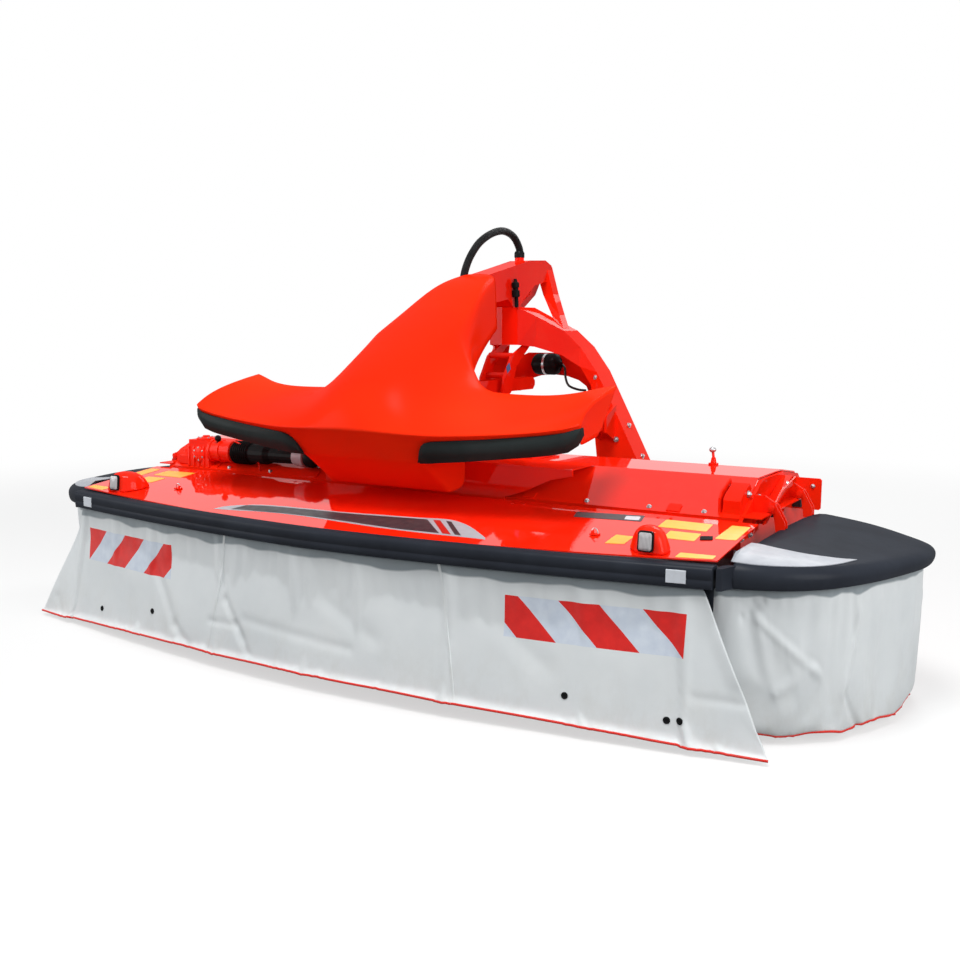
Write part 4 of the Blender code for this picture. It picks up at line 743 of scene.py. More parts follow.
def fold_at(folds, across, z, scale=1.0):
    """How far the creases move the cloth at a place."""
    total = 0.0
    here = Vector((across * scale, z))
    for x1, z1, x2, z2, depth, breadth in folds:
        start, run = Vector((x1 * scale, z1)), Vector(((x2 - x1) * scale, z2 - z1))
        share = (here - start).dot(run) / run.length_squared
        away = (here - start - run * min(1.0, max(0.0, share))).length / breadth
        if away < 1.0:
            total += depth * (1 - away) * (1 - away * away)
    return total


def places_of(mesh):
    found = np.empty(len(mesh.vertices) * 3)
    mesh.vertices.foreach_get("co", found)
    return found.reshape(-1, 3)


def crumple(piece, grid, slack, cap):
    """Hangs the sheet by simulation: it is cut a little long, so that it buckles under its own weight."""
    columns, rows = grid
    mesh = piece.data
    rest = places_of(mesh)
    pins = piece.vertex_groups.new(name="pins")
    wide = columns + 1
    pins.add(list(range(wide)), 1.0, "REPLACE")
    pins.add(list(range(rows * wide, (rows + 1) * wide)), HEM_HOLD, "REPLACE")
    cloth = piece.modifiers.new("hang", "CLOTH")
    set_all(cloth.settings, **CLOTH_SETTINGS, vertex_group_mass="pins", shrink_min=-slack)
    set_all(cloth.point_cache, frame_start=1, frame_end=CLOTH_FRAMES)
    scene = bpy.context.scene
    for step in range(1, CLOTH_FRAMES + 1):
        scene.frame_set(step)
    move = places_of(piece.evaluated_get(bpy.context.evaluated_depsgraph_get()).data) - rest
    piece.modifiers.remove(cloth)
    scene.frame_set(1)
    size = np.linalg.norm(move, axis=1, keepdims=True)
    move *= np.minimum(1.0, cap / np.maximum(size, 1e-9))
    mesh.vertices.foreach_set("co", (rest + move).ravel())
    mesh.update()


def hang_curtain(name, grid, place, mark, material, body, give, node):
    columns, rows = grid
    mesh = cloth_grid(name, grid, place, mark)
    curtain = link(name, mesh, material, body, "canvas", 180)
    crumple(curtain, grid, *give)
    hem = [vertex.co.copy() for vertex in mesh.vertices[rows * (columns + 1):]]
    piping = tube(f"{name}_hem", hem, HEM_RADIUS, HEM_RED, body, "canvas", 2)
    add_skin(curtain, 1, SHEET_THICKNESS, 0.0)
    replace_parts(curtain, node)
    return mesh


def ripple(waves, across, up, side=1):
    """How far soft waves move the cloth at a place; each side of the machine has its own."""
    return sum(noise.noise(Vector((across * breadth, up * height, seed * side))) * depth
               for breadth, height, seed, depth in waves)


def make_front_curtain():
    """The long canvas under the rim, with its seams and eyelets."""
    top_z = CURTAIN_HIGH.z - 0.001

    def place(u, v):
        share = 2 * u - 1
        flare = max(0.0, (-share - FLARE_START) / (1 - FLARE_START)) ** FLARE_POWER
        x_top = share * CURTAIN_TOP_HALF
        x_low = share * CURTAIN_HEM_HALF * HEM_SHARE - HEM_FLARE * flare
        # a few millimetres inside the solid curtain's front and lower edge
        y_top = rim_y(x_top) + CURTAIN_TOP_BACK + 0.003
        y_low = rim_y(x_low) - CURTAIN_HEM_FRONT + 0.006 - FLARE_FORWARD * flare
        z_low = CURTAIN_LOW.z + 0.004 + HEM_RISE * (1 - share * share)
        x = x_top + (x_low - x_top) * v
        y = y_top + (y_low - y_top) * v
        z = top_z + (z_low - top_z) * v
        wave = ripple(FRONT_RIPPLES, x, z)
        drift = SCALLOP_DRIFT[0] * math.sin(x * SCALLOP_DRIFT[1])
        scallop = SCALLOP_DEPTH * math.sin(x * SCALLOP_PITCH + drift)
        # waves grow towards the hem, and the scallops fade out below the rim
        y += (wave * (0.35 + 0.65 * v) + scallop * max(0.0, 1 - 3 * v)) * min(1.0, max(4 * v, 0.4))
        for seam in CURTAIN_SEAMS:
            y -= SEAM_PINCH * max(0.0, 1 - abs(x - seam) / SEAM_REACH)
        return at(x, y + FRONT_FOLD_SHARE * fold_at(FRONT_FOLDS, x, z), z)

    def mark(u, v):
        point = place(u, v)
        return point.x, point.z

    mesh = hang_curtain("curtain_front", FRONT_GRID, place, mark, STRIPED, "front_guard", FRONT_GIVE,
                        "front_curtain")
    make_curtain_seams(mesh, *FRONT_GRID)
    make_eyelets(mesh)


def make_curtain_seams(mesh, columns, rows):
    """Raised seams down the front curtain, where its panels are sewn together."""
    seams = Batch()
    middle = (rows // 2) * (columns + 1)
    for seam in CURTAIN_SEAMS:
        nearest = min(range(columns + 1), key=lambda i: abs(mesh.vertices[middle + i].co.x - seam))
        line = [vertex.co.copy() for vertex in list(mesh.vertices)[nearest::columns + 1]]
        seams.loops([[spot + Vector((a, b, 0)) for a, b in SEAM_SECTION] for spot in line])
    seams.finish("curtain_front_seams", CANVAS, "front_guard", "canvas")


def make_eyelets(mesh):
    """Dark rings pressed into the front curtain near its hem."""
    tree = BVHTree.FromPolygons([vertex.co for vertex in mesh.vertices],
                                [polygon.vertices for polygon in mesh.polygons])
    rings = Batch()
    for x, z in EYELETS:
        spot, normal, _, _ = tree.find_nearest(at(x, rim_y(x) - 0.03, z))
        if normal.y > 0:
            normal = -normal
        rings.lathe(spot, normal, ((-.002, .011), (.0025, .012), (.0045, .01), (.0045, .0065), (.002, .005),
                                   (.0018, .001)), 20)
    rings.finish("curtain_eyelets", CAST, "front_guard", "rubber")


def make_side_curtain(word, side):
    """Half-round canvas under a side guard."""
    low_z, high_z = (corner[2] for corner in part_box("side_curtain_left"))
    low_z, high_z = low_z + 0.004, high_z - 0.001
    tops = smooth_route([(row[0] + RIM_HALF, row[1], 0) for row in SIDE_RUN], 11)
    hems = smooth_route([(row[2] + RIM_HALF, row[3], 0) for row in SIDE_RUN], 11)
    last = len(tops) - 1
    length = sum((b - a).length for a, b in zip(tops, tops[1:]))

    def place(u, v):
        index = min(int(round(u * SIDE_GRID[0])), last)
        spot = tops[index].lerp(hems[index], v)
        hem_z = low_z + SIDE_HEM_WAVE * (0.5 - 0.5 * math.cos(u * SIDE_HEM_PITCH))
        z = high_z + (hem_z - high_z) * v
        out = (tops[min(index + 1, last)] - tops[max(index - 1, 0)]).normalized()
        push = ripple(SIDE_RIPPLES, u, z, side)
        push = (push * min(1.0, 3 * v + 0.2) - SIDE_CURTAIN_INSET
                + SIDE_FOLD_SHARE * fold_at(SIDE_FOLDS, u, z, SIDE_RUN_LENGTH))
        return at(side * (spot.x + out.y * push), spot.y - out.x * push, z)

    def mark(u, v):
        # each side shows a stretch of cloth of its own
        return 3.0 + side * u * 2.0, high_z + (low_z - high_z) * v

    hang_curtain(f"curtain_side_{word}", SIDE_GRID, place, mark, CANVAS, f"side_guard_{word}", SIDE_GIVE,
                 f"side_curtain_{word}")


# ================ side guards
def guard_path():
    """Places round a guard's lower edge."""
    return smooth_route([(RIM_HALF + x, y, 0.0) for x, y in GUARD_OUTLINE], 3)


def make_side_guard(word, side):
    """Domed black moulding with a rolled rim."""
    loops = []
    for share, rise, slope, step in GUARD_PROFILE:
        loop = []
        for point in guard_path():
            spot = GUARD_CENTRE + (point - GUARD_CENTRE) * share
            pull = (spot - GUARD_CENTRE).normalized() * step
            x = max(spot.x - pull.x, GUARD_ROOT)
            loop.append(at(side * x, spot.y - pull.y, GUARD_LOW + rise + slope * (GUARD_REACH - x)))
        loops.append(loop)
    guard = Batch().loops(loops, capped=False).finish(
        f"guard_moulding_{word}", BLACK, f"side_guard_{word}", "black_plastic", 180, merged=True)
    add_skin(guard, 2, SHELL_THICKNESS)
    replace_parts(guard, f"side_guard_{word}")


def make_guard_ears(word, side):
    """Pairs of red ears that carry a side guard on its hinge pins."""
    ears = Batch()
    for y in GUARD_EARS:
        for lean in (-1, 1):
            middle = y + lean * (EAR_GAP + EAR_WIDTH / 2)
            ears.plate([(side * (GUARD_PIN_X + x), GUARD_PIN_Z + z) for x, z in EAR_SHAPE], "y",
                       middle - EAR_WIDTH / 2, middle + EAR_WIDTH / 2)
        ears.lathe(at(side * GUARD_PIN_X, y - 0.034, GUARD_PIN_Z), (0, 1, 0),
                   ((0.0, .006), (.001, .012), (.003, .012), (.004, .009)))
    ears.finish(f"guard_ears_{word}", PAINT, f"side_guard_{word}", "gloss_red")


def guard_height(x, y):
    """Height of the guard's skin over its lower edge at a place inside its outline."""
    path = guard_path()
    spot = Vector((x, y, 0)) - GUARD_CENTRE
    share = 0.5
    for a, b in zip(path, path[1:]):
        a, b = a - GUARD_CENTRE, b - GUARD_CENTRE
        base = a.x * b.y - a.y * b.x
        first = (spot.x * b.y - spot.y * b.x) / base
        second = (a.x * spot.y - a.y * spot.x) / base
        if first >= -1e-6 and second >= -1e-6:
            share = first + second
            break
    rise, slope = along_table(sorted(row[:3] for row in GUARD_PROFILE[GUARD_SKIN_ROWS:]), share)
    return rise + slope * (GUARD_REACH - x)


def make_crescent(word, side):
    """Pale reflective film along a guard's front shoulder."""
    outer = ((.03, .262), (.053, .264), (.104, .276), (.178, .312), (.252, .37), (.312, .452), (.351, .56))
    inner = ((.03, .47), (.055, .48), (.107, .478), (.16, .479), (.215, .487), (.29, .517), (.351, .562))
    lines = [smooth_route([(RIM_HALF + x, y) for x, y in line], 4) for line in (outer, inner)]
    loops = []
    for a, b in zip(*lines):
        across = [a.lerp(b, i / 5) for i in range(6)]
        loops.append([at(side * p.x, p.y, GUARD_LOW + guard_height(p.x, p.y) + lift)
                      for lift, order in ((0.0014, across), (-0.0010, across[::-1])) for p in order])
    Batch().loops(loops).finish(f"guard_crescent_{word}", GUARD_FILM, f"side_guard_{word}")


def make_guard_corner(word, side):
    """A lip at a guard's front inner corner, and a thin flap under the rim's end beside it."""
    lip_shape = ((.01, .18), (.026, .186), (.05, .256), (.034, .256), (.01, .236))
    flap_shape = ((-.075, .535), (-.004, .535), (-.004, .452), (-.02, .44))
    lip, flap = Batch(), Batch()
    lip.plate([(side * (RIM_HALF + x), y) for x, y in lip_shape], "z", 0.527, 0.598)
    lip.finish(f"guard_lip_{word}", BLACK, f"side_guard_{word}", "black_plastic")
    flap.plate([(side * (RIM_HALF + x), z) for x, z in flap_shape], "y", 0.204, 0.207)
    flap.finish(f"rim_flap_{word}", BLACK, "front_guard", "rubber")


# ================ deck: labels, ribbon, lamps
def deck_film(name, outlines, material, low, high):
    """Thin film on the deck's sloping top."""
    batch = Batch()
    for outline in outlines:
        batch.loops([[deck_spot(x, y, lift) for x, y in outline] for lift in (low, high)])
    batch.finish(name, material, "front_guard")


def both_sides(outlines):
    """The outlines, then the same mirrored."""
    return [[(side * x, y) for x, y in outline] for side in (1, -1) for outline in outlines]


def rounded(outline, corner=0.006, steps=3):
    """The outline with its corners rounded off."""
    count, made = len(outline), []
    for k in range(count):
        before, here, after = (Vector(outline[(k + step) % count]) for step in (-1, 0, 1))
        cut = min(corner, 0.3 * (here - before).length, 0.3 * (after - here).length)
        start = here + (before - here).normalized() * cut
        end = here + (after - here).normalized() * cut
        for i in range(steps + 1):
            t = i / steps
            made.append(tuple(start * (1 - t) ** 2 + here * 2 * t * (1 - t) + end * t * t))
    return made


def make_deck_labels():
    """Blank labels, and dark film painted as the shaded slots beside the lamps."""
    labels = (((1.165, .594), (1.338, .59), (1.344, .502), (1.168, .502)),
              ((1.227, .47), (1.338, .47), (1.344, .385), (1.233, .385)),
              ((1.403, .599), (1.468, .6), (1.468, .441), (1.397, .434)),
              ((1.345, .254), (1.462, .262), (1.462, .226), (1.345, .205)))
    slot = ((1.345, .439), (1.385, .453), (1.396, .415), (1.358, .4))
    small = ((1.072, .364), (1.137, .364), (1.14, .274), (1.075, .262))
    deck_film("deck_labels", both_sides([rounded(label) for label in labels]), YELLOW, 0.0002, 0.0010)
    deck_film("deck_label_small", [rounded(small)], YELLOW, 0.0002, 0.0010)
    # painted shade: a flat dark film stands in for the shaded inside of each slot
    deck_film("deck_slot_shade", both_sides([rounded(slot)]), CAST, 0.0002, 0.0030)


def make_ribbon():
    """The sweeping ribbon without its lettering: pale edge, dark fill and two slashes."""
    base_far = ((-.598, .135), (-.563, .195), (-.442, .253), (-.255, .27), (-.058, .276), (.121, .294),
                (.294, .312), (.375, .326), (.444, .322), (.539, .274), (.661, .175))
    base_near = ((.673, .154), (.611, .156), (.449, .148), (.229, .148), (.032, .161), (-.175, .175),
                 (-.365, .169), (-.465, .15))
    fill_far = ((-.5, .225), (-.4, .245), (-.2, .258), (0, .266), (.2, .286), (.335, .3))
    fill_near = ((.475, .165), (.33, .158), (.2, .163), (0, .176), (-.2, .182), (-.4, .17), (-.52, .158))
    red_slash = ((.36, .302), (.39, .304), (.525, .165), (.49, .165))
    dark_slash = ((.415, .306), (.44, .303), (.565, .168), (.54, .168))
    base, fill = ([tuple(spot) for line in lines for spot in smooth_route(line, 3)]
                  for lines in ((base_far, base_near), (fill_far, fill_near)))
    for name, outline, material, low, high in (
            ("ribbon_base", base, SILVER, 0.0002, 0.0008), ("ribbon_fill", fill, DARK_FILM, 0.0006, 0.0013),
            ("ribbon_slash_red", red_slash, RED_FILM, 0.0010, 0.0017),
            ("ribbon_slash_dark", dark_slash, DARK_FILM, 0.0010, 0.0017)):
        deck_film(name, [outline], material, low, high)


def make_deck_strip():
    """The dark strip with its pale window."""
    strip = ((.817, .582), (1.074, .616), (1.09, .54), (.833, .517))
    window = ((1.012, .59), (1.066, .597), (1.076, .553), (1.022, .546))
    deck_film("deck_strip", [rounded(strip)], DARK_FILM, 0.0002, 0.0009)
    deck_film("deck_strip_window", [rounded(window)], WHITE, 0.0006, 0.0014)


def make_rim_stickers():
    """Small pale reflectors near the rim's ends."""
    section = ((.0015, .5445), (-.0016, .5465), (-.0016, .5865), (.0015, .5885))
    inner_x, width, count = 1.341, 0.062, 8
    batch = Batch()
    for side in (1, -1):
        stations = [side * (inner_x + width * i / count) for i in range(count + 1)]
        batch.loops([[at(x, rim_y(x) + y, z) for y, z in section] for x in stations])
    batch.finish("rim_reflectors", WHITE, "front_guard")


def make_lamp_hood(word, side):
    """Moulded red hood over a lamp, flat at the front."""
    foot = ((1.206, .202), (1.24, .19), (1.285, .19), (1.312, .212), (1.31, .262), (1.28, .312),
            (1.232, .342), (1.19, .34), (1.166, .308), (1.166, .268), (1.182, .228))
    # height over the deck, share of the footprint
    steps = ((0.0, 1.0), (.004, .985), (.016, .94), (.034, .87), (.052, .77), (.066, .64), (.076, .46),
             (.081, .25), (.083, .05))
    face_y, face_lean = 0.197, 0.05
    closed = smooth_route(foot + foot[:1], 4)[:-1]
    loops = []
    for rise, share in steps:
        crown = Vector((1.247, 0.222 + 0.02 * (1 - share)))
        loop = []
        for spot in closed:
            place = crown + (spot - crown) * share
            z = deck_spot(0, place.y).z * share + deck_spot(0, crown.y).z * (1 - share) + rise
            loop.append(at(side * place.x, max(place.y, face_y + face_lean * rise), z))
        loops.append(loop)
    hood = Batch().loops(loops).finish(f"lamp_hood_{word}", PAINT, "front_guard", "gloss_red", 60)
    add_skin(hood, 1)


def rounded_box(half_x, half_z, corner):
    """Outline of an upright rectangle with round corners, about its middle."""
    return [(way_x * (half_x - corner) + corner * math.cos(angle),
             way_z * (half_z - corner) + corner * math.sin(angle))
            for way_x, way_z, start in ((1, 1, 0), (-1, 1, 90), (-1, -1, 180), (1, -1, 270))
            for angle in (math.radians(start + 30 * i) for i in range(4))]


def make_lamp_face(word, side):
    """A dark bezel and a ribbed lens in a lamp hood."""
    middle_x, middle_z, lean = 1.249, 0.657, 0.10
    # y and share of the outline, from the back to the front
    bezel_rows = ((.199, 1.0), (.1915, 1.0), (.1905, .95))
    lens_rows = ((.192, 1.0), (.1895, 1.0), (.1885, .95), (.187, .6), (.1865, .2))
    for name, outline, rows, material, slot in (
            ("bezel", rounded_box(0.027, 0.034, 0.010), bezel_rows, CAST, "rubber"),
            ("lens", rounded_box(0.022, 0.029, 0.007), lens_rows, LENS, None)):
        loops = [[at(side * middle_x + a * share, y + lean * b * share, middle_z + b * share)
                  for a, b in outline] for y, share in rows]
        Batch().loops(loops).finish(f"lamp_{name}_{word}", material, "front_guard", slot)


# ================ fittings on the hood and deck
def make_hood_bolts():
    """Bolts along the conditioner hood's fold and on its side plates."""
    bolts = Batch()
    # y, z, size
    plate_bolts = ((.86, .725, .008), (1.16, .715, .008), (1.38, .715, .008), (.66, .6, .009),
                   (.76, .6, .009), (.7, .3, .008), (.7, .45, .008), (1.3, .3, .008), (1.3, .45, .008))
    for side in (1, -1):
        for x in (1.265, 1.054, 0.80):
            bolts.bolt(hood_spot(side * x, 0.703, 0.0002), HOOD_NORMAL, 0.0075)
        for y, z, size in plate_bolts:
            bolts.bolt(at(side * PLATE_FACE, y, z), (side, 0, 0), size)
    bolts.finish("hood_bolts", ZINC, "mower", "bare_steel")


def make_hood_straps():
    """Short hinge straps over the hood's fold."""
    straps = Batch()
    outline = ((-.026, 0.0), (.026, 0.0), (.026, .03), (.02, .037), (-.02, .037), (-.026, .03))
    for x in (-1.15, -0.55, 0.55, 1.15):
        straps.loops([[hood_spot(x + a, 0.6905 + b, lift) for a, b in outline] for lift in (0.0003, 0.0035)])
    straps.finish("hood_straps", PAINT, "mower", "gloss_red")


def make_oval_label():
    """Blank oval label on the hood: a white edge round a blue centre."""
    middle_x, middle_y, squareness = 1.325, 0.832, 0.8
    for name, half_x, half_y, low, high, material in (
            ("oval_label", 0.034, 0.021, 0.0003, 0.0012, WHITE),
            ("oval_label_centre", 0.022, 0.013, 0.0008, 0.0018, BLUE)):
        ring = [(half_x * math.copysign(abs(math.cos(t)) ** squareness, math.cos(t)),
                 half_y * math.copysign(abs(math.sin(t)) ** squareness, math.sin(t)))
                for t in circle(32, 0.5)]
        loops = [[hood_spot(middle_x + a, middle_y + b, lift) for a, b in ring] for lift in (low, high)]
        Batch().loops(loops).finish(name, material, "mower")


def make_height_lever():
    """The height lever: its red stem and bright knob."""
    foot, lean = (1.128, 1.195), (-0.15, 0.1, 1)
    stem, knob = Batch(), Batch()
    stem.lathe(at(*foot, 0.7855), (0, 0, 1),
               ((0.0, .02), (.006, .02), (.008, .012), (.026, .009), (.03, .0065)), 20)
    stem.lathe(at(*foot, 0.808), lean, ((0.0, .0055), (.03, .0055)), 12)
    stem.finish("lever_stem", PAINT, "mower", "gloss_red")
    knob.lathe(at(1.1238, 1.1978, 0.835), lean,
               ((0.0, .006), (.002, .011), (.008, .0145), (.015, .0135), (.021, .008), (.023, .001)), 20)
    knob.finish("lever_knob", ZINC, "mower", "bare_steel")


def make_deck_latches():
    """A small latch on each half of the deck, with a wire hook over it."""
    latch_x, latch_y, wire = 1.005, 0.335, 0.0022
    latches, hooks = Batch(), Batch()
    for side in (1, -1):
        spot = deck_spot(side * latch_x, latch_y)
        latches.box(spot + Vector((0, 0, 0.0035)), (0.032, 0.022, 0.005))
        latches.lathe(spot + Vector((-side * 0.008, 0, 0.006)), (0, 0, 1),
                      ((0.0, .006), (.008, .0055), (.012, .003)))
        arc = [deck_spot(side * (latch_x + 0.012 * math.cos(t)), latch_y, 0.005 + 0.020 * math.sin(t))
               for t in (math.pi * i / 10 for i in range(11))]
        rings = []
        for k, spot in enumerate(arc):
            ahead = (arc[min(k + 1, 10)] - arc[max(k - 1, 0)]).normalized()
            across, along, _ = basis(ahead, (0, 1, 0))
            rings.append([spot + across * wire * math.cos(a) + along * wire * math.sin(a) for a in circle(8)])
        hooks.loops(rings)
    latches.finish("deck_latches", PAINT, "front_guard", "gloss_red")
    hooks.finish("deck_hooks", ZINC, "front_guard", "bare_steel")


# ================ fittings at the ends and on the drive
def make_end_fittings(word, side):
    """Castings, straps and plates at one end of the machine, inside the side guard's hinge."""
    # x, width, y and z round the outline
    straps = (
        (1.318, 0.007, ((.697, .657), (.697, .735), (.722, .757), (.815, .79), (.835, .765), (.775, .71))),
        (1.334, 0.064, ((.703, .657), (.703, .726), (.724, .745), (.805, .778), (.828, .757), (.77, .705))),
        (PLATE_FACE, 0.036, ((.812, .634), (.828, .63), (1.196, .752), (1.19, .764), (1.176, .766),
                             (.815, .648))),
        (1.460, 0.006, ((.76, .64), (.8, .64), (1.0, .712), (1.182, .746), (1.176, .764), (.985, .73))))
    bracket = ((PLATE_FACE, .61), (1.516, .61), (1.523, .617), (1.523, .73), (1.516, .737),
               (PLATE_FACE, .737))
    bracket_front, bracket_back = 1.350, 1.356
    red, bolts, dark = Batch(), Batch(), Batch()
    for x, width, outline in straps:
        red.plate(outline, "x", side * x, side * (x + width))
    red.plate([(side * x, z) for x, z in bracket], "y", bracket_front, bracket_back)
    red.finish(f"end_straps_{word}", PAINT, "mower", "gloss_red", 30)
    for x, y, z, size in ((1.3985, .785, .742, .01), (1.452, .9, .679, .008), (1.452, 1.1, .745, .008)):
        bolts.bolt(at(side * x, y, z), (side, 0, 0), size)
    bolts.bolt(at(side * 1.49, bracket_front, 0.705), (0, -1, 0), 0.007)
    bolts.finish(f"end_bolts_{word}", ZINC, "mower", "bare_steel")
    dark.box(at(side * 1.44, 0.955, 0.655), (0.040, 0.055, 0.030))
    dark.box(at(side * 1.435, 1.335, 0.640), (0.036, 0.028, 0.040))
    dark.finish(f"end_buffer_{word}", RUBBER, "mower", "rubber")


def make_gearbox_fittings():
    """Ribs, cover and bolts of the end gearbox, and the shaft's flanged housing."""
    box, bolts = Batch(), Batch()
    rib = ((.684, .672), (.796, .672), (.796, .76), (.78, .792), (.7, .792), (.684, .76))
    foot = ((-1.13, .664), (-1.02, .664), (-1.03, .7), (-1.06, .722), (-1.11, .722), (-1.13, .7))
    lid_y, lid_ring, cover_z, cover_ring = 0.738, 0.037, 0.735, 0.029
    for x in (-1.304, -1.272, -1.240, -1.208, -1.176):
        box.plate(rib, "x", x, x + 0.007)
    box.lathe(at(GEARBOX_X, lid_y, 0.799), (0, 0, 1),
              ((0.0, .046), (.007, .046), (.01, .04), (.014, .018), (.02, .016)), 28)
    box.lathe(at(-1.165, *SHAFT_AXIS), (1, 0, 0),
              ((-.004, .055), (.01, .055), (.012, .05), (.05, .049), (.052, .054), (.066, .054), (.068, .05),
               (.118, .049), (.12, .055), (.134, .055), (.136, .048)), 36)
    box.lathe(at(GEARBOX_X, 0.6905, cover_z), (0, -1, 0),
              ((0.0, .036), (.006, .036), (.009, .03), (.012, .012)), 24)
    box.box(at(-1.345, 0.735, 0.700), (0.075, 0.080, 0.055), 0.35)
    box.lathe(at(-1.352, 0.735, 0.727), (0, 0, 1), ((0.0, .026), (.018, .024), (.026, .014)), 20)
    box.plate(foot, "y", 0.80, 0.807)
    box.finish("gearbox_castings", PAINT, "mower", "gloss_red", 40)
    for t in circle(6, 0.5):
        x, y = GEARBOX_X + lid_ring * math.cos(t), lid_y + lid_ring * math.sin(t)
        bolts.bolt(at(x, y, 0.806), (0, 0, 1), 0.0055)
        x, z = GEARBOX_X + cover_ring * math.cos(t), cover_z + cover_ring * math.sin(t)
        bolts.bolt(at(x, 0.6845, z), (0, -1, 0), 0.0045)
    bolts.finish("gearbox_bolts", ZINC, "mower", "bare_steel")


def make_shaft_fittings():
    """Bellows, sleeve and tip of the cross shaft; the gearbox's stalk and its prop rod."""
    dark, grey = Batch(), Batch()
    bellows = [(0.0, 0.036)]
    for k in range(8):
        start = 0.004 + 0.0125 * k
        bellows += [(start + step, radius) for step, radius in
                    ((0.0, .044), (.0045, .0545), (.0075, .0545), (.0115, .044))]
    bellows.append((0.108, 0.036))
    tip = ((0.0, .03), (.004, .041), (.03, .045), (.056, .036), (.064, .024))
    stalk_knob = ((0.0, .006), (.012, .006), (.013, .012), (.022, .0155), (.032, .0135), (.038, .006),
                  (.039, .001))
    sleeve = ((0.0, .034), (.003, .038), (.04, .043), (.066, .046), (.07, .04))
    stalk = (-1.118, 0.700)
    dark.lathe(at(-1.026, *SHAFT_AXIS), (1, 0, 0), bellows, 36)
    dark.lathe(at(-0.594, *SHAFT_AXIS), (1, 0, 0), tip, 32)
    dark.lathe(at(*stalk, 0.790), (0, 0, 1), stalk_knob, 24)
    dark.lathe(at(*stalk, 0.742), (0, 0, 1), ((0.0, .008), (.05, .006)))
    dark.finish("shaft_bellows", CAST, "mower", "rubber", 30)
    grey.lathe(at(-0.665, *SHAFT_AXIS), (1, 0, 0), sleeve, 36)
    grey.finish("shaft_sleeve", SILVER, "mower", "rubber", 30)
    rod = ((-1.015, .806), (-.99, .799), (-.885, .758), (-.862, .7), (-.862, .678))
    tube("prop_rod", [at(x, 0.70, z) for x, z in rod], 0.0045, PAINT, "mower", "gloss_red", 3)


def make_brace():
    """The flared brace before the saddle, with its right arm set back behind the drive shaft."""
    arm = ((.45, .668), (.54, .697), (.66, .752), (.75, .772), (.75, .797), (.5, .8))
    front = 0.673, 0.683
    # outline, the axis across it, and its reach on that axis
    plates = (
        (((.45, .657),) + arm + ((0.0, .8), (0.0, .657)), "y", front),
        (((0.0, .657), (-.45, .657), (-.45, .8), (0.0, .8)), "y", front),
        (tuple((-x, z) for x, z in arm[1:]) + ((-.45, .8), (-.45, .736)), "y", (0.808, 0.818)),
        (((-.74, .8), (.74, .8), (.74, .897), (-.74, .897)), "z", (0.790, 0.796)),
        (((.683, .706), (.745, .706), (.745, .792), (.683, .792)), "x", (-0.460, -0.442)),
        (((-.45, .683), (.74, .683), (.74, .801), (-.45, .801)), "z", (0.790, 0.796)))
    batch = Batch()
    for outline, plane, reach in plates:
        batch.plate(outline, plane, *reach)
    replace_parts(batch.finish("saddle_brace", PAINT, "mower", "gloss_red", 30), "saddle_front")


# ================ fittings on the arch
def make_accumulator():
    """The accumulator with its necks, and the bright band round it."""
    height, back = 1.145, 1.900
    bag = Batch().lathe(at(-0.086, back, height), (1, 0, 0), (
        (0.0, .012), (.01, .013), (.012, .024), (.018, .04), (.028, .05), (.04, .0535), (.068, .0535),
        (.072, .05), (.078, .05), (.096, .05), (.1, .0535), (.132, .0535), (.146, .049), (.156, .038),
        (.16, .022), (.17, .014), (.172, .004)), 40)
    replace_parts(bag.finish("accumulator_bag", CAST, "carrying_frame", "black_plastic", 40), "accumulator")
    band = Batch().lathe(at(0.0, back, height), (1, 0, 0), (
        (-.006, .05), (-.006, .0535), (.006, .0535), (.006, .05)), 40)
    band.finish("accumulator_band", ZINC, "carrying_frame", "bare_steel")


def make_valve():
    """The hydraulic valve on the neck, and the thin pressure line below the accumulator."""
    valve = Batch()
    valve.lathe(at(0.072, 1.445, 1.470), (0, -0.1, 1),
                ((0.0, .012), (.004, .018), (.03, .018), (.034, .012), (.044, .012), (.046, .017),
                 (.066, .017), (.072, .009), (.085, .007)), 20)
    valve.lathe(at(0.072, 1.452, 1.425), (0, -0.1, 1), ((0.0, .009), (.048, .009)), 14)
    valve.finish("hydraulic_valve", CAST, "carrying_frame", "rubber")
    line = ((.088, 1.9, 1.145), (.105, 1.895, 1.125), (.11, 1.893, 1.08), (.125, 1.9, 1.04),
            (.16, 1.93, 1.02), (.2, 1.946, 1.015))
    tube("pressure_line", smooth_route([at(*spot) for spot in line], 5), 0.006, RUBBER, "carrying_frame",
         "rubber", 3)


def make_arch_bolts():
    """Bolts on the arch's legs and on its outer faces, and the link's blank label."""
    bolts, label = Batch(), Batch()
    leg_front, leg_side = 1.8295, 1.905
    face_x, face_z, face_lean = 0.442, 0.875, 0.50
    for side in (1, -1):
        for x, z, size in ((.306, 1.09, .012), (.42, .79, .011), (.3, .95, .009), (.46, .58, .009)):
            bolts.bolt(at(side * x, leg_front, z), (0, -1, 0), size)
        for z in (0.854, 0.706):
            x = face_x + (face_z - z) * face_lean
            bolts.bolt(at(side * x, leg_side, z), (side, 0, 0.45), 0.010)
    bolts.finish("arch_bolts", ZINC, "carrying_frame", "bare_steel")
    label.plate(((1.372, 1.12), (1.402, 1.14), (1.39, 1.17), (1.36, 1.15)), "x", 0.0682, 0.0692)
    label.finish("link_label", BLUE, "carrying_frame")


# ================ stage
def seen_directly(tree):
    """1 for the rays that show a thing itself, through glass or in a gloss; 0 for the light it gives off."""
    paths = tree.nodes.new("ShaderNodeLightPath").outputs
    value = paths["Is Camera Ray"]
    for word in ("Is Glossy Ray", "Is Transmission Ray"):
        value = new_node(tree, "ShaderNodeMath", {0: value, 1: paths[word]}, operation="MAXIMUM").outputs[0]
    return value


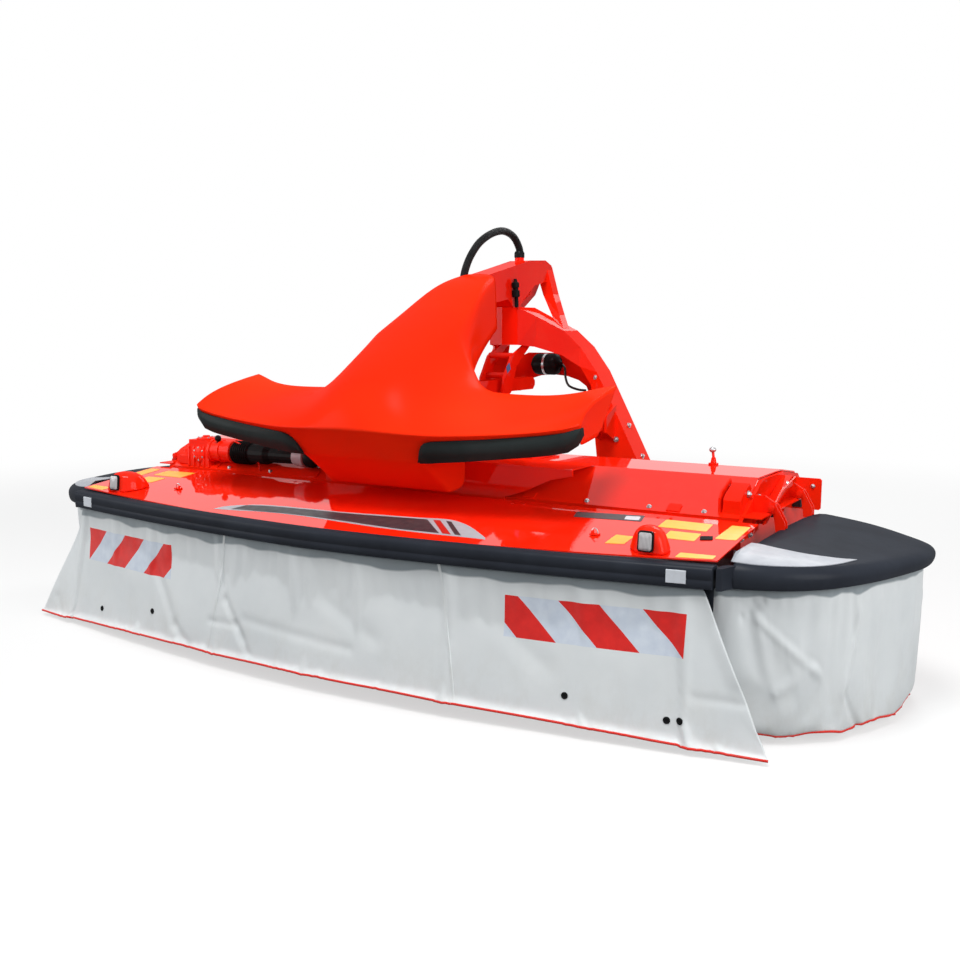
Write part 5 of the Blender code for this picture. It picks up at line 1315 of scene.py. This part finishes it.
def mix_shaders(tree, share, first, second):
    return new_node(tree, "ShaderNodeMixShader", {0: share, 1: first, 2: second}).outputs[0]


def make_floor():
    """Pale floor that takes the shadow and runs into a white backdrop."""
    half = FLOOR_HALF
    mesh = make_mesh("floor", [(-half, -half, 0), (half, -half, 0), (half, half, 0), (-half, half, 0)],
                     [(0, 1, 2, 3)])
    floor = add_object("floor", mesh)
    floor.location.z = cad_box[0][2] - 0.001
    recipe = Recipe("floor", roughness=0.9)
    recipe.shader.inputs["Base Color"].default_value = FLOOR_BOUNCE
    far = recipe.node("ShaderNodeVectorMath", {0: recipe.coordinates["Object"]}, operation="LENGTH")
    inputs = {"Value": far.outputs["Value"], "From Min": FLOOR_FADE[0], "From Max": FLOOR_FADE[1],
              "To Min": FLOOR_GLOW, "To Max": 1.0}
    away = recipe.node("ShaderNodeMapRange", inputs, interpolation_type="SMOOTHSTEP").outputs["Result"]
    shown = recipe.node("ShaderNodeBsdfDiffuse", {"Color": FLOOR_TONE}).outputs[0]
    glow = recipe.node("ShaderNodeEmission").outputs[0]
    pale = mix_shaders(recipe.tree, away, shown, glow)
    made = mix_shaders(recipe.tree, seen_directly(recipe.tree), recipe.shader.outputs[0], pale)
    recipe.tree.links.new(made, recipe.tree.nodes["Material Output"].inputs["Surface"])
    mesh.materials.append(recipe.material)


def make_sky():
    """White backdrop for the camera; softer light on the machine."""
    world = bpy.data.worlds.new("surroundings")
    bpy.context.scene.world = world
    world.use_nodes = True
    tree = world.node_tree
    back = tree.nodes["Background"]
    back.inputs["Color"].default_value = SKY_TONE
    back.inputs["Strength"].default_value = SKY_LIGHT
    white = new_node(tree, "ShaderNodeBackground", {"Color": (1.0, 1.0, 1.0, 1.0), "Strength": 1.0})
    made = mix_shaders(tree, seen_directly(tree), back.outputs[0], white.outputs[0])
    tree.links.new(made, tree.nodes["World Output"].inputs["Surface"])


def make_lamps():
    for name, place, size, power in LAMPS:
        light = set_all(bpy.data.lights.new(name, "AREA"), shape="DISK", size=size, energy=power)
        lamp = add_object(name, light)
        lamp.location = place
        lamp.rotation_euler = (LAMP_AIM - Vector(place)).to_track_quat("-Z", "Y").to_euler()
    bpy.context.scene.view_settings.view_transform = "Standard"


def dress_cad_nodes():
    """Finishes, and softened edges, for the solids that stay in view."""
    for entry in frame["record"]["subparts"]:
        for holder in nodes[entry["node"]].material_slots:
            holder.material = OWN_FINISH.get(entry["node"], FINISHES[entry["material_slot"]])
    for name, node in nodes.items():
        if not node.hide_render:
            add_bevel(node, EDGE_WIDTHS.get(name, EDGE_WIDTH))


def both(*makers):
    """Makes what stands on the machine's left side, then the same on its right."""
    for word, side in (("left", 1), ("right", -1)):
        for make in makers:
            make(word, side)


make_camera()
make_hose()
make_top_cover()
both(make_trim)
make_rim()
make_front_curtain()
both(make_side_curtain)
both(make_side_guard, make_guard_ears)
make_deck_labels()
make_ribbon()
make_deck_strip()
make_rim_stickers()
both(make_lamp_hood, make_lamp_face)
both(make_crescent, make_guard_corner)
make_hood_bolts()
make_hood_straps()
make_oval_label()
make_height_lever()
make_deck_latches()
both(make_end_fittings)
make_gearbox_fittings()
make_shaft_fittings()
make_brace()
make_accumulator()
make_valve()
make_arch_bolts()
dress_cad_nodes()
make_floor()
make_sky()
make_lamps()
